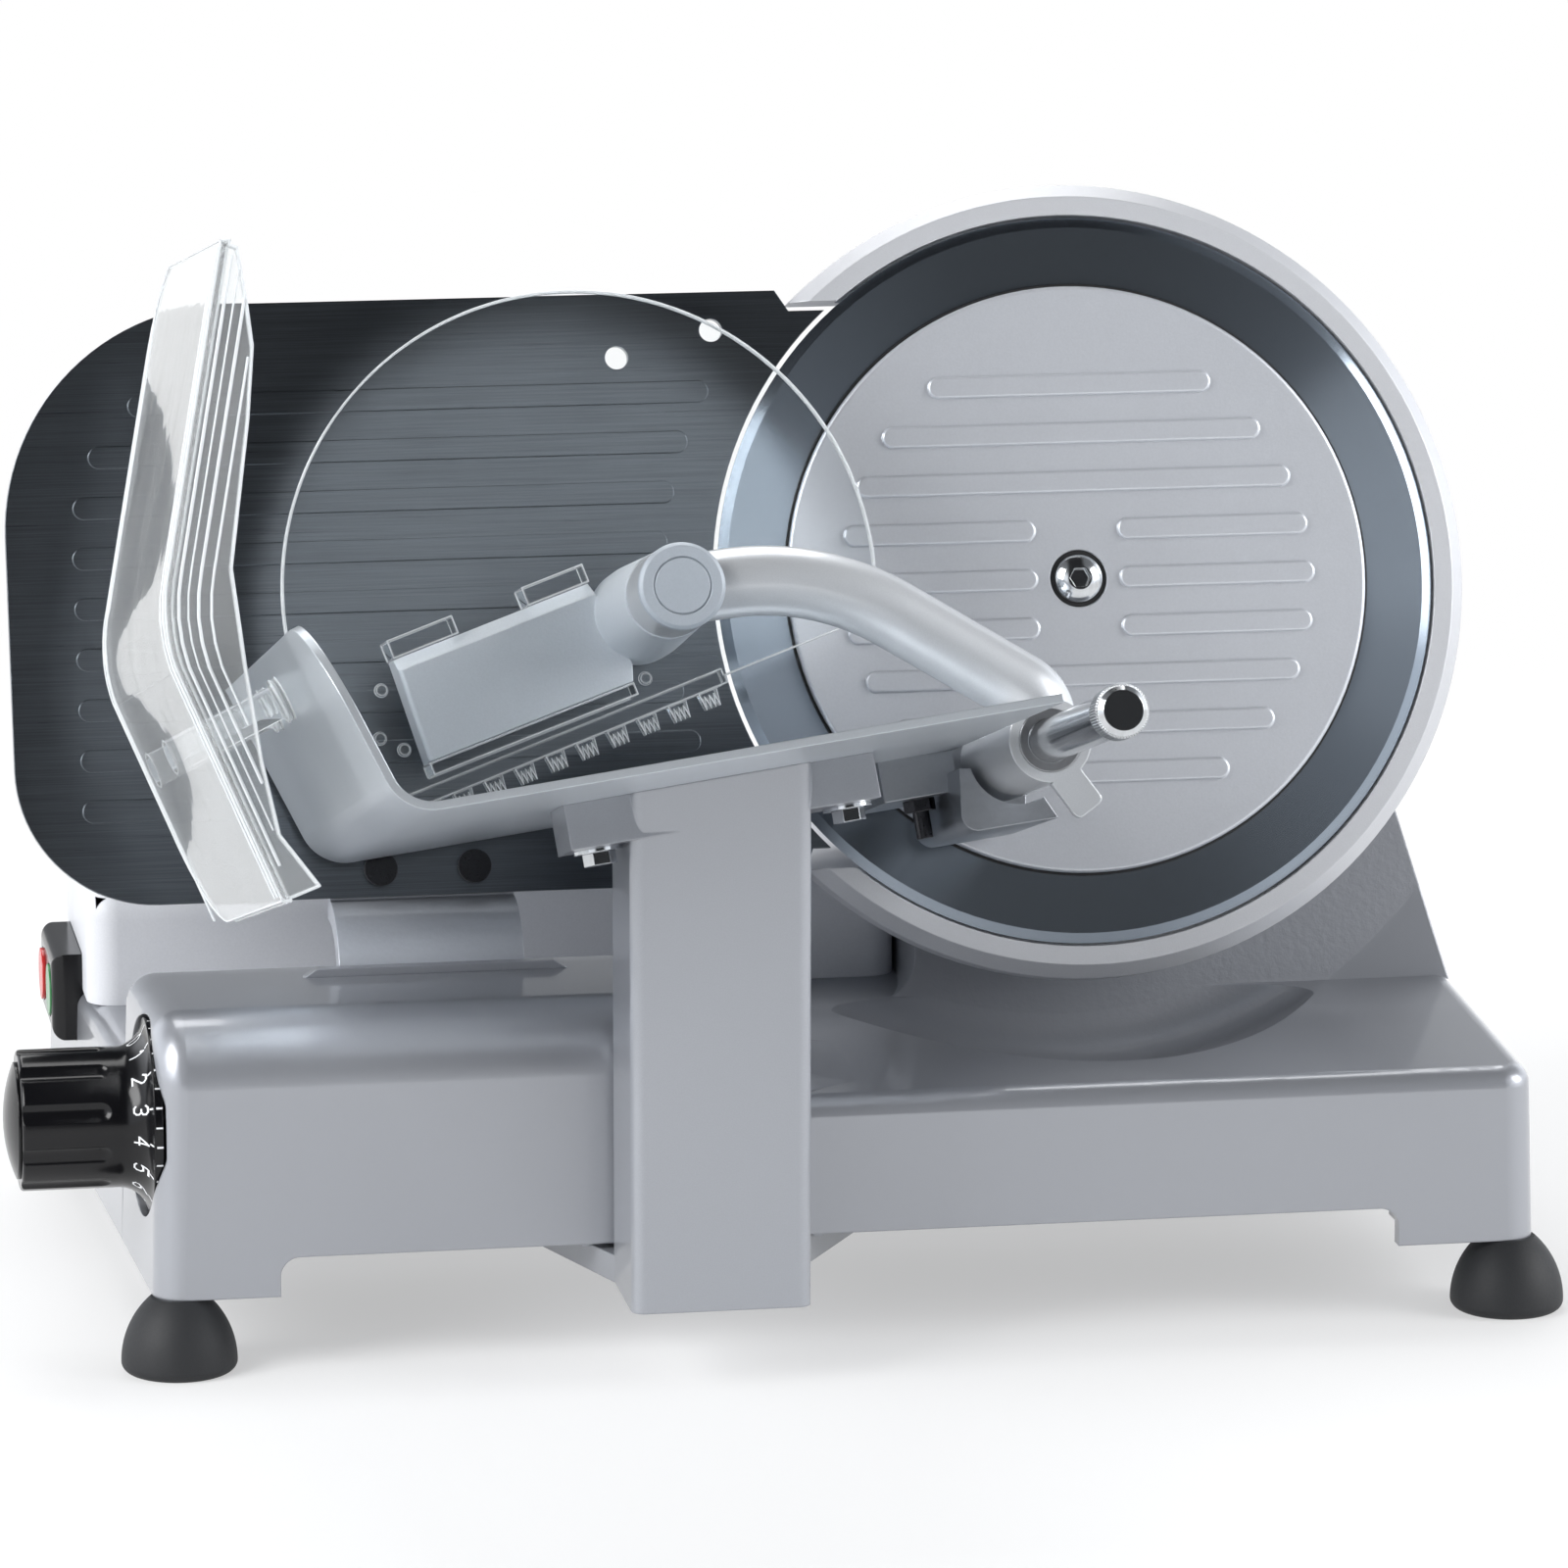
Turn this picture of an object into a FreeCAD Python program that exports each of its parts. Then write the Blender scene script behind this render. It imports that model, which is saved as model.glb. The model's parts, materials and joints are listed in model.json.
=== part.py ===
import FreeCAD, Part
import math
import os

import Sketcher
from FreeCAD import Placement, Rotation, Vector

# Electric food slicer with a 220 mm blade, as an assembly of separate pieces.
# World frame: millimetres, X to the right, Y to the rear, Z up, origin on the
# table midway between the four feet. The blade leans back by the tilt. Pieces
# beside the blade are drawn in the blade frame, whose origin is the centre of
# the cutting edge: x to the right, y up in the blade plane, z out of the blade
# towards the operator.

doc = FreeCAD.newDocument("food_slicer")
sheet = doc.addObject("Spreadsheet::Sheet", "Sizes")


# Sizes that know the expression they come from

class Size:
    """A number together with the expression that the document binds to it."""

    def __init__(self, value, text):
        self.value = float(value)
        self.text = text

    def __float__(self):
        return self.value

    def __lt__(self, other):
        return self.value < float(other)

    def __gt__(self, other):
        return self.value > float(other)

    def __neg__(self):
        return Size(-self.value, "-(%s)" % self.text)

    def __add__(self, other):
        other = as_size(other)
        return Size(self.value + other.value, "%s + %s" % (self.text, other.text))

    def __radd__(self, other):
        return as_size(other) + self

    def __sub__(self, other):
        other = as_size(other)
        return Size(self.value - other.value, "%s - (%s)" % (self.text, other.text))

    def __rsub__(self, other):
        return as_size(other) - self

    def __mul__(self, other):
        other = as_size(other)
        return Size(self.value * other.value, "(%s) * (%s)" % (self.text, other.text))

    def __rmul__(self, other):
        return as_size(other) * self

    def __truediv__(self, other):
        other = as_size(other)
        return Size(self.value / other.value, "(%s) / (%s)" % (self.text, other.text))


def as_size(number):
    return number if isinstance(number, Size) else Size(number, "(%s)" % number)


def root(number):
    return Size(math.sqrt(float(number)), "sqrt(%s)" % as_size(number).text)


def sine(angle):
    return Size(math.sin(math.radians(float(angle))), "sin((%s) * 1deg)" % as_size(angle).text)


def cosine(angle):
    return Size(math.cos(math.radians(float(angle))), "cos((%s) * 1deg)" % as_size(angle).text)


def tangent(angle):
    return Size(math.tan(math.radians(float(angle))), "tan((%s) * 1deg)" % as_size(angle).text)


rows = 0
pieces = []


def size(name, value, note):
    """Write one driving size into the sheet and return it."""
    global rows
    rows += 1
    sheet.set("A%d" % rows, name)
    sheet.set("B%d" % rows, str(value))
    sheet.set("C%d" % rows, note)
    sheet.setAlias("B%d" % rows, name)
    return Size(value, "Sizes." + name)


# Driving sizes: blade and its place

tilt = size("tilt", 16, "lean of the blade from upright, degrees")
blade_x = size("blade_x", 86.5, "blade centre to the right of the origin")
blade_y = size("blade_y", -15, "blade centre behind the origin")
blade_z = size("blade_z", 205, "blade centre above the table")
blade_radius = size("blade_radius", 110, "radius of the cutting edge")
blade_thickness = size("blade_thickness", 2.6, "body of the blade")
bevel_width = size("bevel_width", 3, "ground bevel along the edge")
blade_bore = size("blade_bore", 20, "radius of the hole that the hub centres")
edge_setback = size("edge_setback", 1, "cutting edge behind the blade's front face")

ring_inner = size("ring_inner", 110.9, "inner radius of the guard ring")
ring_outer = size("ring_outer", 120.5, "outer radius of the guard ring")
ring_depth = size("ring_depth", 13, "depth of the guard ring behind the edge")
ring_chamfer = size("ring_chamfer", 4, "chamfer along the outer front edge of the ring")
ring_web = size("ring_web", 4, "thickness of the web behind the blade")
ring_gap = size("ring_gap", 3, "gap between the blade and the web behind it")
ring_flange = size("ring_flange", 104, "inner radius of the ring's flange behind the blade")
ring_open_top = size("ring_open_top", 86.5, "upper end of the ring's opening above the axis")
ring_open_bottom = size("ring_open_bottom", 84.5, "lower end of that opening below the axis")

disc_radius = size("disc_radius", 88.9, "radius of the cover disc")
disc_thickness = size("disc_thickness", 2, "sheet of the cover disc")
disc_gap = size("disc_gap", 0.5, "gap between the disc and the blade")
rib_pitch = size("rib_pitch", 14.7, "pitch of the ribs on disc and gauge plate")
rib_width = size("rib_width", 6.5, "width of a rib")
rib_rise = size("rib_rise", 1.1, "height of a rib")
rib_round = size("rib_round", 0.8, "round of a rib's upper edge")
rib_reach = size("rib_reach", 73.5, "radius at which the disc's ribs end")
rib_clear = size("rib_clear", 12, "space beside the centre screw")

# Driving sizes: base

foot_span_x = size("foot_span_x", 395, "between left and right feet")
foot_span_y = size("foot_span_y", 230, "between front and rear feet")
foot_height = size("foot_height", 22, "foot below the base")
foot_radius = size("foot_radius", 16.8, "widest radius of a foot")
foot_top_radius = size("foot_top_radius", 8, "radius of a foot under the base")
foot_inset = size("foot_inset", 7, "foot centre behind the faces of the base")
base_flare = size("base_flare", 3, "outward turn of the base's ends to the rear, degrees")
base_draft = size("base_draft", 1.7, "casting draft, degrees")
base_wall = size("base_wall", 5, "wall of the casting")
corner_block = size("corner_block", 36, "solid corner over each foot")
skirt_bottom = size("skirt_bottom", 33.5, "lower edge of the skirt above the table")
deck_top = size("deck_top", 74, "deck above the table")
nose_top = size("nose_top", 103, "top of the nose above the table")
slope_start = size("slope_start", -61.5, "where the nose begins to fall to the deck")
slope_length = size("slope_length", 66, "length of that slope")
nose_back = size("nose_back", -46, "rear face of the nose")
nose_round = size("nose_round", 20, "round of the nose's upper front edge")
nose_back_round = size("nose_back_round", 5, "round of the nose's upper rear edge")
deck_round = size("deck_round", 6, "round of the deck's edges")
corner_round = size("corner_round", 9, "round of the upright corners")
block_left = size("block_left", 36, "length of the left foot blocks")
block_right = size("block_right", 42, "length of the right foot blocks")
base_plate_thickness = size("base_plate_thickness", 1.5, "sheet below the base")
knob_wall = size("knob_wall", 11, "extra thickness of the left wall behind the knob")
knob_wall_back = size("knob_wall_back", -55, "rear end of that thickening")
knob_y = size("knob_y", -90, "knob axis behind the origin")
knob_z = size("knob_z", 69.5, "knob axis above the table")
dial_recess = size("dial_recess", 4, "depth of the recess for the dial")
dial_recess_radius = size("dial_recess_radius", 29.4, "radius of that recess")
knob_bore = size("knob_bore", 9, "radius of the bore for the knob's bush")
slot_left = size("slot_left", -147, "left end of the slot for the gauge carrier")
slot_right = size("slot_right", -85, "right end of that slot")
slot_front = size("slot_front", -64, "front of that slot")
slot_floor = size("slot_floor", 77, "lower end of the slot's rear opening")

# Driving sizes: tower

tower_setback = size("tower_setback", 50, "tower face behind the cutting edge")
tower_radius = size("tower_radius", 85.5, "round head of the tower")
tower_depth = size("tower_depth", 40, "depth of the tower casting")
tower_wall = size("tower_wall", 5, "wall of the tower")
tower_left = size("tower_left", 46, "left edge of the tower to the left of the blade centre")
tower_slant = size("tower_slant", 15, "lean of the tower's right edge, degrees")
scoop_radius = size("scoop_radius", 147, "round clearance cut in the deck")
scoop_round = size("scoop_round", 18, "round between the tower face and that clearance")
scoop_front = size("scoop_front", 60, "front end of that clearance, before the edge")
tower_foot_blend = size("tower_foot_blend", 14, "concave blend at the tower's left foot")
boss_radius = size("boss_radius", 29, "bearing boss of the tower")
boss_front = size("boss_front", 24, "front of the bearing boss behind the cutting edge")
bearing_outer = size("bearing_outer", 21, "outer radius of the blade bearings")
bearing_inner = size("bearing_inner", 12.5, "inner radius of the blade bearings")
bearing_width = size("bearing_width", 12, "width of a blade bearing")
bore_throat = size("bore_throat", 18, "radius of the bore between the bearings")
boss_depth = size("boss_depth", 34, "length of the bearing boss")
motor_drop = size("motor_drop", 90, "motor axis below the blade axis")
motor_radius = size("motor_radius", 32, "radius of the motor")
motor_length = size("motor_length", 52, "length of the motor")
motor_gap = size("motor_gap", 5, "space around the motor in the deck's opening")

# Driving sizes: electrics

cover_left = size("cover_left", -210.5, "left end of the electrics cover")
cover_right = size("cover_right", 39.5, "right end of the electrics cover")
cover_front = size("cover_front", 28, "front of the electrics cover")
cover_back = size("cover_back", 117, "back of both covers")
cover_top = size("cover_top", 110, "top of the electrics cover")
cover_wall = size("cover_wall", 3, "wall of the covers")
cover_round = size("cover_round", 9, "round of the covers' edges")
switch_left = size("switch_left", -219.8, "left face of the switch housing")
switch_right = size("switch_right", -199, "inner end of the switch housing")
switch_front = size("switch_front", 52, "front of the switch housing")
switch_length = size("switch_length", 46, "length of the switch housing")
switch_low = size("switch_low", 58, "bottom of the switch housing")
switch_high = size("switch_high", 85, "top of the switch housing")
switch_gap = size("switch_gap", 0.3, "space around the switch housing")
switch_round = size("switch_round", 4, "round of the switch housing")
button_radius = size("button_radius", 8, "radius of a push button")
button_gap = size("button_gap", 0.4, "space around a button")
button_depth = size("button_depth", 12, "depth of a button's bore")
button_travel = size("button_travel", 2.5, "travel of a button")
start_rise = size("start_rise", 0.5, "start button before its housing")
stop_rise = size("stop_rise", 1, "stop button before its housing")
gland_x = size("gland_x", -150, "inlet gland to the right of the origin")
gland_z = size("gland_z", 52, "inlet gland above the table")
gland_radius = size("gland_radius", 8, "radius of the gland's neck")
gland_flange = size("gland_flange", 12, "radius of the gland's flange")
gland_flange_depth = size("gland_flange_depth", 5, "depth of the gland's flange")
cord_radius = size("cord_radius", 3.6, "radius of the cord's passage")
board_thickness = size("board_thickness", 1.6, "control board")
capacitor_radius = size("capacitor_radius", 12, "radius of the run capacitor")

# Driving sizes: gauge and its gear

slide_travel = size("slide_travel", 15, "travel of the gauge plate")
gauge_left = size("gauge_left", 322, "left end of the gauge plate, left of the blade centre")
gauge_top = size("gauge_top", 90, "top of the gauge plate above the axis")
gauge_bottom = size("gauge_bottom", 88, "bottom of the gauge plate below the axis")
gauge_right = size("gauge_right", 88.5, "right end of its upper edge, left of the axis")
gauge_notch_x = size("gauge_notch_x", 84.5, "notch corner left of the axis")
gauge_notch_top = size("gauge_notch_top", 83.7, "upper notch above the axis")
gauge_notch_bottom = size("gauge_notch_bottom", 78.4, "lower notch below the axis")
gauge_arc = size("gauge_arc", 111.4, "radius of the plate's edge round the blade")
gauge_thickness = size("gauge_thickness", 3, "thickness of the gauge plate")
gauge_corner_top = size("gauge_corner_top", 68, "round of its upper left corner")
gauge_corner_bottom = size("gauge_corner_bottom", 41, "round of its lower left corner")
gauge_rib_reach = size("gauge_rib_reach", 125, "radius at which the gauge ribs end")
gauge_rib_left = size("gauge_rib_left", 303, "left ends of the gauge ribs, left of the axis")
gauge_rib_offset = size("gauge_rib_offset", 0, "middle gauge rib above the axis")
gauge_rib_pitch = size("gauge_rib_pitch", 15, "pitch of the gauge ribs")
gauge_screw_rise = size("gauge_screw_rise", 2, "height of the carrier screws' heads")
hang_x_right = size("hang_x_right", 108.5, "right hole of the plate, left of the axis")
hang_y_right = size("hang_y_right", 78.4, "that hole above the axis")
hang_x_left = size("hang_x_left", 137.4, "left hole of the plate, left of the axis")
hang_y_left = size("hang_y_left", 70.8, "that hole above the axis")
gauge_rib_rise = size("gauge_rib_rise", 0.8, "height of the gauge ribs")
hang_hole = size("hang_hole", 3.5, "radius of the two holes in the plate")
screw_left = size("screw_left", 215, "left carrier screw, left of the axis")
screw_right = size("screw_right", 187, "right carrier screw, left of the axis")
screw_drop = size("screw_drop", 80, "carrier screws below the axis")
carrier_left = size("carrier_left", -143.5, "left side of the gauge carrier")
carrier_width = size("carrier_width", 55, "width of the gauge carrier")
carrier_thickness = size("carrier_thickness", 7, "thickness of the gauge carrier")
carrier_bend = size("carrier_bend", 25, "outer bend radius of the carrier")
carrier_bend_y = size("carrier_bend_y", -36, "centre of that bend behind the origin")
carrier_bend_z = size("carrier_bend_z", 94, "centre of that bend above the table")
carrier_flange = size("carrier_flange", 26, "height of the carrier's flange behind the plate")
bridge_top = size("bridge_top", 91.5, "top of the carrier's bridge inside the nose")
bridge_bottom = size("bridge_bottom", 85.5, "bottom of that bridge")
bridge_front = size("bridge_front", -80, "front of that bridge")
bar_x = size("bar_x", 203, "guide bar left of the blade centre")
bar_drop = size("bar_drop", 140.7, "guide bar below the blade axis")
bar_radius = size("bar_radius", 7, "radius of the guide bar")
bar_back = size("bar_back", 8, "rear end of the guide bar behind the edge")
bar_front = size("bar_front", 58, "front end of the guide bar before the edge")
bar_boss = size("bar_boss", 11, "radius of the bosses that hold the bar")
bar_boss_depth = size("bar_boss_depth", 8, "depth of those bosses in the blade's direction")
bush_wall = size("bush_wall", 3, "wall of the plain bushes")
fit = size("fit", 0.05, "radial running clearance")
block_back = size("block_back", 16, "rear end of the carrier block before the edge")
block_length = size("block_length", 29, "length of the carrier block")
block_top = size("block_top", 128, "top of the carrier block below the axis")
block_low = size("block_low", 156, "bottom of the carrier block below the axis")
block_half = size("block_half", 15, "half width of the carrier block")
cam_left = size("cam_left", -167.5, "left face of the spiral cam")
cam_width = size("cam_width", 6, "width of the spiral cam")
cam_start = size("cam_start", 8, "smallest radius of the spiral")
pin_radius = size("pin_radius", 3, "radius of the follower pin")
pin_gap = size("pin_gap", 0.6, "space between follower pin and cam")
pin_bar_radius = size("pin_bar_radius", 4, "radius of the follower's bar")
shaft_radius = size("shaft_radius", 5, "radius of the knob shaft")
knob_left = size("knob_left", -241, "left end of the knob's grip")
knob_cap_rise = size("knob_cap_rise", 4.2, "dome of the knob cap")
knob_cap_radius = size("knob_cap_radius", 17, "radius of the knob cap")
grip_radius = size("grip_radius", 20.5, "radius of the knob's grip")
grip_length = size("grip_length", 27.5, "length of the grip")
flare_bend = size("flare_bend", 9, "bend between grip and dial")
dial_radius = size("dial_radius", 28.4, "radius of the dial")
dial_edge = size("dial_edge", 2.5, "straight edge of the dial")
dial_gap = size("dial_gap", 0.8, "gap behind the dial")
flute_count = size("flute_count", 10, "flutes round the grip")
flute_radius = size("flute_radius", 5, "radius of a flute")
flute_depth = size("flute_depth", 1.1, "depth of a flute")
rim_height = size("rim_height", 2.6, "height of the rim before the slot")
rim_width = size("rim_width", 3, "width of that rim")
rim_over = size("rim_over", 8, "reach of the rim beyond the slot's ends")

# Driving sizes: carriage

rod_y = size("rod_y", -102, "carriage slide rod behind the origin")
rod_z = size("rod_z", 42, "carriage slide rod above the table")
rod_radius = size("rod_radius", 6, "radius of the carriage slide rod")
rod_seat = size("rod_seat", 20, "depth of the rod's seats in the corner blocks")
rail_y = size("rail_y", -38, "guide rail behind the origin")
rail_half = size("rail_half", 4, "half width of the guide rail")
rail_bottom = size("rail_bottom", 42, "bottom of the guide rail")
rail_height = size("rail_height", 8, "height of the guide rail")
rail_reach = size("rail_reach", 168, "half length of the guide rail")
arm_left = size("arm_left", -88, "left side of the carriage's foot arm")
arm_width = size("arm_width", 94, "width of the carriage's foot arm")
arm_thickness = size("arm_thickness", 8, "thickness of the foot arm")
arm_low = size("arm_low", 24, "underside of the foot arm above the table")
arm_bend_back = size("arm_bend_back", -86, "rear end of the foot arm's taper behind the origin")
arm_bend_front = size("arm_bend_front", -130, "front end of that taper")
lug_left = size("lug_left", -80, "left side of the lug round the slide rod")
lug_width = size("lug_width", 71, "width of that lug")
lug_radius = size("lug_radius", 13, "lug round the slide rod")
bush_length = size("bush_length", 22, "length of a rod bush")
post_left = size("post_left", -72.5, "left side of the carriage post")
post_width = size("post_width", 52, "width of the carriage post")
post_front = size("post_front", -165, "front of the carriage post")
post_depth = size("post_depth", 40, "depth of the carriage post")
post_wall = size("post_wall", 5, "wall of the carriage post")
post_round = size("post_round", 4, "round of the post's upright edges")
post_hollow_low = size("post_hollow_low", 45, "lower end of the post's hollow")
post_hollow_high = size("post_hollow_high", 145, "upper end of the post's hollow")
tray_corner_x = size("tray_corner_x", 233.1, "tray corner left of the blade centre")
tray_corner_drop = size("tray_corner_drop", 78, "tray corner below the blade axis")
floor_rise = size("floor_rise", 7.7, "rise of the tray floor to the right, degrees")
floor_length = size("floor_length", 182.5, "length of the tray floor")
wall_lean = size("wall_lean", 115.6, "direction of the tray wall, degrees")
wall_length = size("wall_length", 58.5, "length of the tray wall")
tray_sheet = size("tray_sheet", 2.4, "sheet of the tray")
tray_bend = size("tray_bend", 12.8, "bend radius of the tray's middle line")
tray_back = size("tray_back", 6, "rear edge of the tray before the edge plane")
tray_depth = size("tray_depth", 220, "depth of the tray")
tray_round = size("tray_round", 30, "round of the wall's front corner")
wing_back = size("wing_back", 105, "rear of the cross bar before the edge plane")
wing_depth = size("wing_depth", 28, "depth of the cross bar")
wing_left = size("wing_left", 178, "left end of the cross bar, left of the axis")
wing_right = size("wing_right", 89, "right end of the cross bar, left of the axis")
wing_height = size("wing_height", 13, "height of the cross bar")
bolt_radius = size("bolt_radius", 2.5, "radius of the bolts")
bolt_flats = size("bolt_flats", 8.3, "across the flats of a bolt head")
bolt_head = size("bolt_head", 3.6, "height of a bolt head")
washer_radius = size("washer_radius", 7.2, "radius of a washer")
washer_thickness = size("washer_thickness", 1.2, "thickness of a washer")
bolt_left = size("bolt_left", 168.5, "left bolt, left of the axis")
bolt_right = size("bolt_right", 96.5, "right bolt, left of the axis")
bolt_z = size("bolt_z", 119, "bolts before the edge plane")
bracket_left = size("bracket_left", 75.3, "left end of the rod bracket, left of the axis")
bracket_right = size("bracket_right", 53, "right end of the bracket's block, left of the axis")
bracket_front = size("bracket_front", 63, "front of that block before the edge plane")
bracket_height = size("bracket_height", 12, "height of that block")
bracket_bolt_x = size("bracket_bolt_x", 62, "bracket bolt, left of the axis")
bracket_bolt_z = size("bracket_bolt_z", 45, "bracket bolt before the edge plane")
bracket_thread = size("bracket_thread", 8, "bare thread below the bracket bolt's nut")
bracket_lug_back = size("bracket_lug_back", 8, "rear of the rod's lug before the edge plane")
bracket_lug_depth = size("bracket_lug_depth", 22, "depth of the rod's lug")
bracket_lug_radius = size("bracket_lug_radius", 12, "radius of the rod's lug")
trough_radius = size("trough_radius", 14.7, "radius of the bracket's trough round the sleeve")
trough_front = size("trough_front", 82, "front of the trough before the edge plane")
trough_left = size("trough_left", 54.6, "left side of the trough, left of the axis")
trough_low = size("trough_low", 80, "bottom of the trough below the axis")
trough_tip_x = size("trough_tip_x", 26, "right tip of the trough, left of the axis")
trough_tip_drop = size("trough_tip_drop", 77, "that tip below the axis")
trough_end_x = size("trough_end_x", 35.7, "inner right end of the trough, left of the axis")
trough_corner = size("trough_corner", 5, "round of the trough's lower left corner")
lever_angle = size("lever_angle", 55, "sleeve lever below the horizontal, degrees")
lever_reach = size("lever_reach", 22.9, "reach of that lever from the rod axis")
lever_offset = size("lever_offset", 2.6, "lever's middle line beside the rod axis")
lever_width = size("lever_width", 9.5, "width of the lever")
lever_thickness = size("lever_thickness", 3, "thickness of the lever")
lever_round = size("lever_round", 2, "round of the lever's corners")

# Driving sizes: pusher

pusher_x = size("pusher_x", 37, "pusher rod left of the blade centre")
pusher_drop = size("pusher_drop", 58, "pusher rod below the blade axis")
pusher_rod_radius = size("pusher_rod_radius", 6.25, "radius of the pusher rod")
pusher_rod_length = size("pusher_rod_length", 224, "length of the pusher rod")
rod_collar_radius = size("rod_collar_radius", 7.6, "radius of the knurled collar")
rod_collar_length = size("rod_collar_length", 8, "length of the knurled collar")
sleeve_back = size("sleeve_back", 55, "rear of the sleeve before the edge plane")
sleeve_length = size("sleeve_length", 75, "length of the sleeve")
sleeve_radius = size("sleeve_radius", 12, "radius of the sleeve")
liner_radius = size("liner_radius", 9, "outer radius of the sleeve's liner")
hub_x = size("hub_x", 141, "pusher hub left of the blade centre")
hub_drop = size("hub_drop", 10.8, "pusher hub below the blade axis")
hub_radius = size("hub_radius", 12.4, "radius of the hub")
tube_z = size("tube_z", 118, "arm tube before the edge plane")
tube_radius = size("tube_radius", 10, "radius of the arm tube")
tube_rise = size("tube_rise", 6, "rise of the arm beside the hub, degrees")
tube_fall = size("tube_fall", 31.8, "fall of the arm towards the rod, degrees")
tube_bow = size("tube_bow", 75, "radius of the arm's long bend")
tube_turn = size("tube_turn", 12, "radius of the arm's bend into the sleeve")
hub_edge = size("hub_edge", 1, "hub beyond the arm tube on each side")
tube_straight = size("tube_straight", 16, "straight part of the arm beside the hub")
cap_thickness = size("cap_thickness", 3.5, "thickness of the hub cap")
cap_step = size("cap_step", 7.9, "radius of the hub cap's inner disc")
pivot_radius = size("pivot_radius", 5, "radius of the hub's pivot")
barrel_radius = size("barrel_radius", 14.4, "radius of the grip's barrel at the grip")
barrel_end = size("barrel_end", 12.8, "radius of the barrel at the hub")
grip_back = size("grip_back", 41.2, "rear of the pusher grip before the edge plane")
grip_depth = size("grip_depth", 14.8, "depth of the pusher grip")
pivot_back = size("pivot_back", 80, "rear end of the pivot before the edge plane")
grip_left_x = size("grip_left_x", 214.7, "upper left corner of the grip, left of the axis")
grip_left_drop = size("grip_left_drop", 22.5, "that corner below the axis")
grip_top_x = size("grip_top_x", 156.6, "upper right corner of the grip, left of the axis")
grip_top_rise = size("grip_top_rise", -1.8, "that corner above the axis")
grip_right_x = size("grip_right_x", 145, "lower right corner of the grip, left of the axis")
grip_right_drop = size("grip_right_drop", 31.1, "that corner below the axis")
grip_low_x = size("grip_low_x", 205.7, "lower left corner of the grip, left of the axis")
grip_low_drop = size("grip_low_drop", 52.6, "that corner below the axis")
grip_shoulder_drop = size("grip_shoulder_drop", 25.8, "upper end of the grip's right edge below the axis")
grip_bevel = size("grip_bevel", 3.8, "bevel of the grip's upper front edge")
grip_round = size("grip_round", 1.5, "round of the grip's left front edge")
ledge_height = size("ledge_height", 4, "clear ledge below the grip")
plate_round = size("plate_round", 6, "round of the clear plate's corners")
clip_depth = size("clip_depth", 14.8, "depth of the clips before the plate")
plate_back = size("plate_back", 38, "rear of the clear plate before the edge plane")
plate_thickness = size("plate_thickness", 3, "thickness of the clear plate")
plate_x = size("plate_x", 157, "centre of the plate's round top, left of the axis")
plate_drop = size("plate_drop", 2, "that centre below the axis")
plate_radius = size("plate_radius", 88, "radius of the plate's round top")
toothed_x = size("toothed_x", 209.5, "left end of the toothed rail, left of the axis")
toothed_drop = size("toothed_drop", 63, "left end of the toothed rail below the axis")
toothed_rise = size("toothed_rise", 19.9, "rise of the toothed rail, degrees")
toothed_length = size("toothed_length", 100, "length of the toothed rail")
toothed_height = size("toothed_height", 4.4, "height of the toothed rail")
toothed_depth = size("toothed_depth", 8, "depth of the toothed rail behind the plate")
tooth_height = size("tooth_height", 5.2, "height of a tooth")
tooth_width = size("tooth_width", 5.8, "width of a tooth")
tooth_count = size("tooth_count", 10, "number of teeth")
clip_height = size("clip_height", 5.8, "height of the clips above the grip")

# Driving sizes: hand guard

guard_back = size("guard_back", 75, "rear of the hand guard before the edge plane")
guard_depth = size("guard_depth", 115, "depth of the hand guard")
guard_sheet = size("guard_sheet", 2.5, "sheet of the hand guard")
guard_slant = size("guard_slant", 8, "front of the guard to the right of its rear")
guard_front_high = size("guard_front_high", 82, "upper end of the guard's front above the axis")
guard_flange = size("guard_flange", 4, "depth of the guard's front flange")
guard_round = size("guard_round", 25, "round of the guard's rear corners")
guard_low_x = size("guard_low_x", 271.8, "lower end of the guard, left of the axis")
guard_low = size("guard_low", 99, "lower end of the guard below the axis")
guard_knee_x = size("guard_knee_x", 298.1, "knee of the guard, left of the axis")
guard_knee = size("guard_knee", 34.5, "knee of the guard below the axis")
guard_waist_x = size("guard_waist_x", 299, "waist of the guard, left of the axis")
guard_waist = size("guard_waist", 7.7, "waist of the guard below the axis")
guard_high_x = size("guard_high_x", 279.5, "upper end of the guard, left of the axis")
guard_high = size("guard_high", 90, "upper end of the guard above the axis")
guard_bow = size("guard_bow", 50, "bow of the guard between knee and waist")
guard_flange_width = size("guard_flange_width", 19, "width of the guard's front flange")
peg_head_radius = size("peg_head_radius", 6.5, "radius of a peg's head")
peg_head_depth = size("peg_head_depth", 2, "depth of a peg's head")
peg_radius = size("peg_radius", 5, "radius of the guard's pegs")
peg_reach = size("peg_reach", 45, "pegs above the tray corner along the wall")
peg_front = size("peg_front", 120, "front peg before the edge plane")
peg_spacing = size("peg_spacing", 34, "between the pegs")

# Driving sizes: screws of the casting

foot_bore = size("foot_bore", 3, "radius of the foot screws")
foot_bore_depth = size("foot_bore_depth", 16, "depth of their bores")
pillar_radius = size("pillar_radius", 6, "pillars that hold the bottom plate")
pillar_x = size("pillar_x", 176, "pillars beside the origin")
pillar_front = size("pillar_front", -12, "front pillars behind the origin")
pillar_back = size("pillar_back", 72, "rear pillars behind the origin")
arm_screw_reach = size("arm_screw_reach", 77, "ring screws from the blade axis")
arm_count = size("arm_count", 3, "arms of the guard ring")

# Driving sizes: drive

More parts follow.
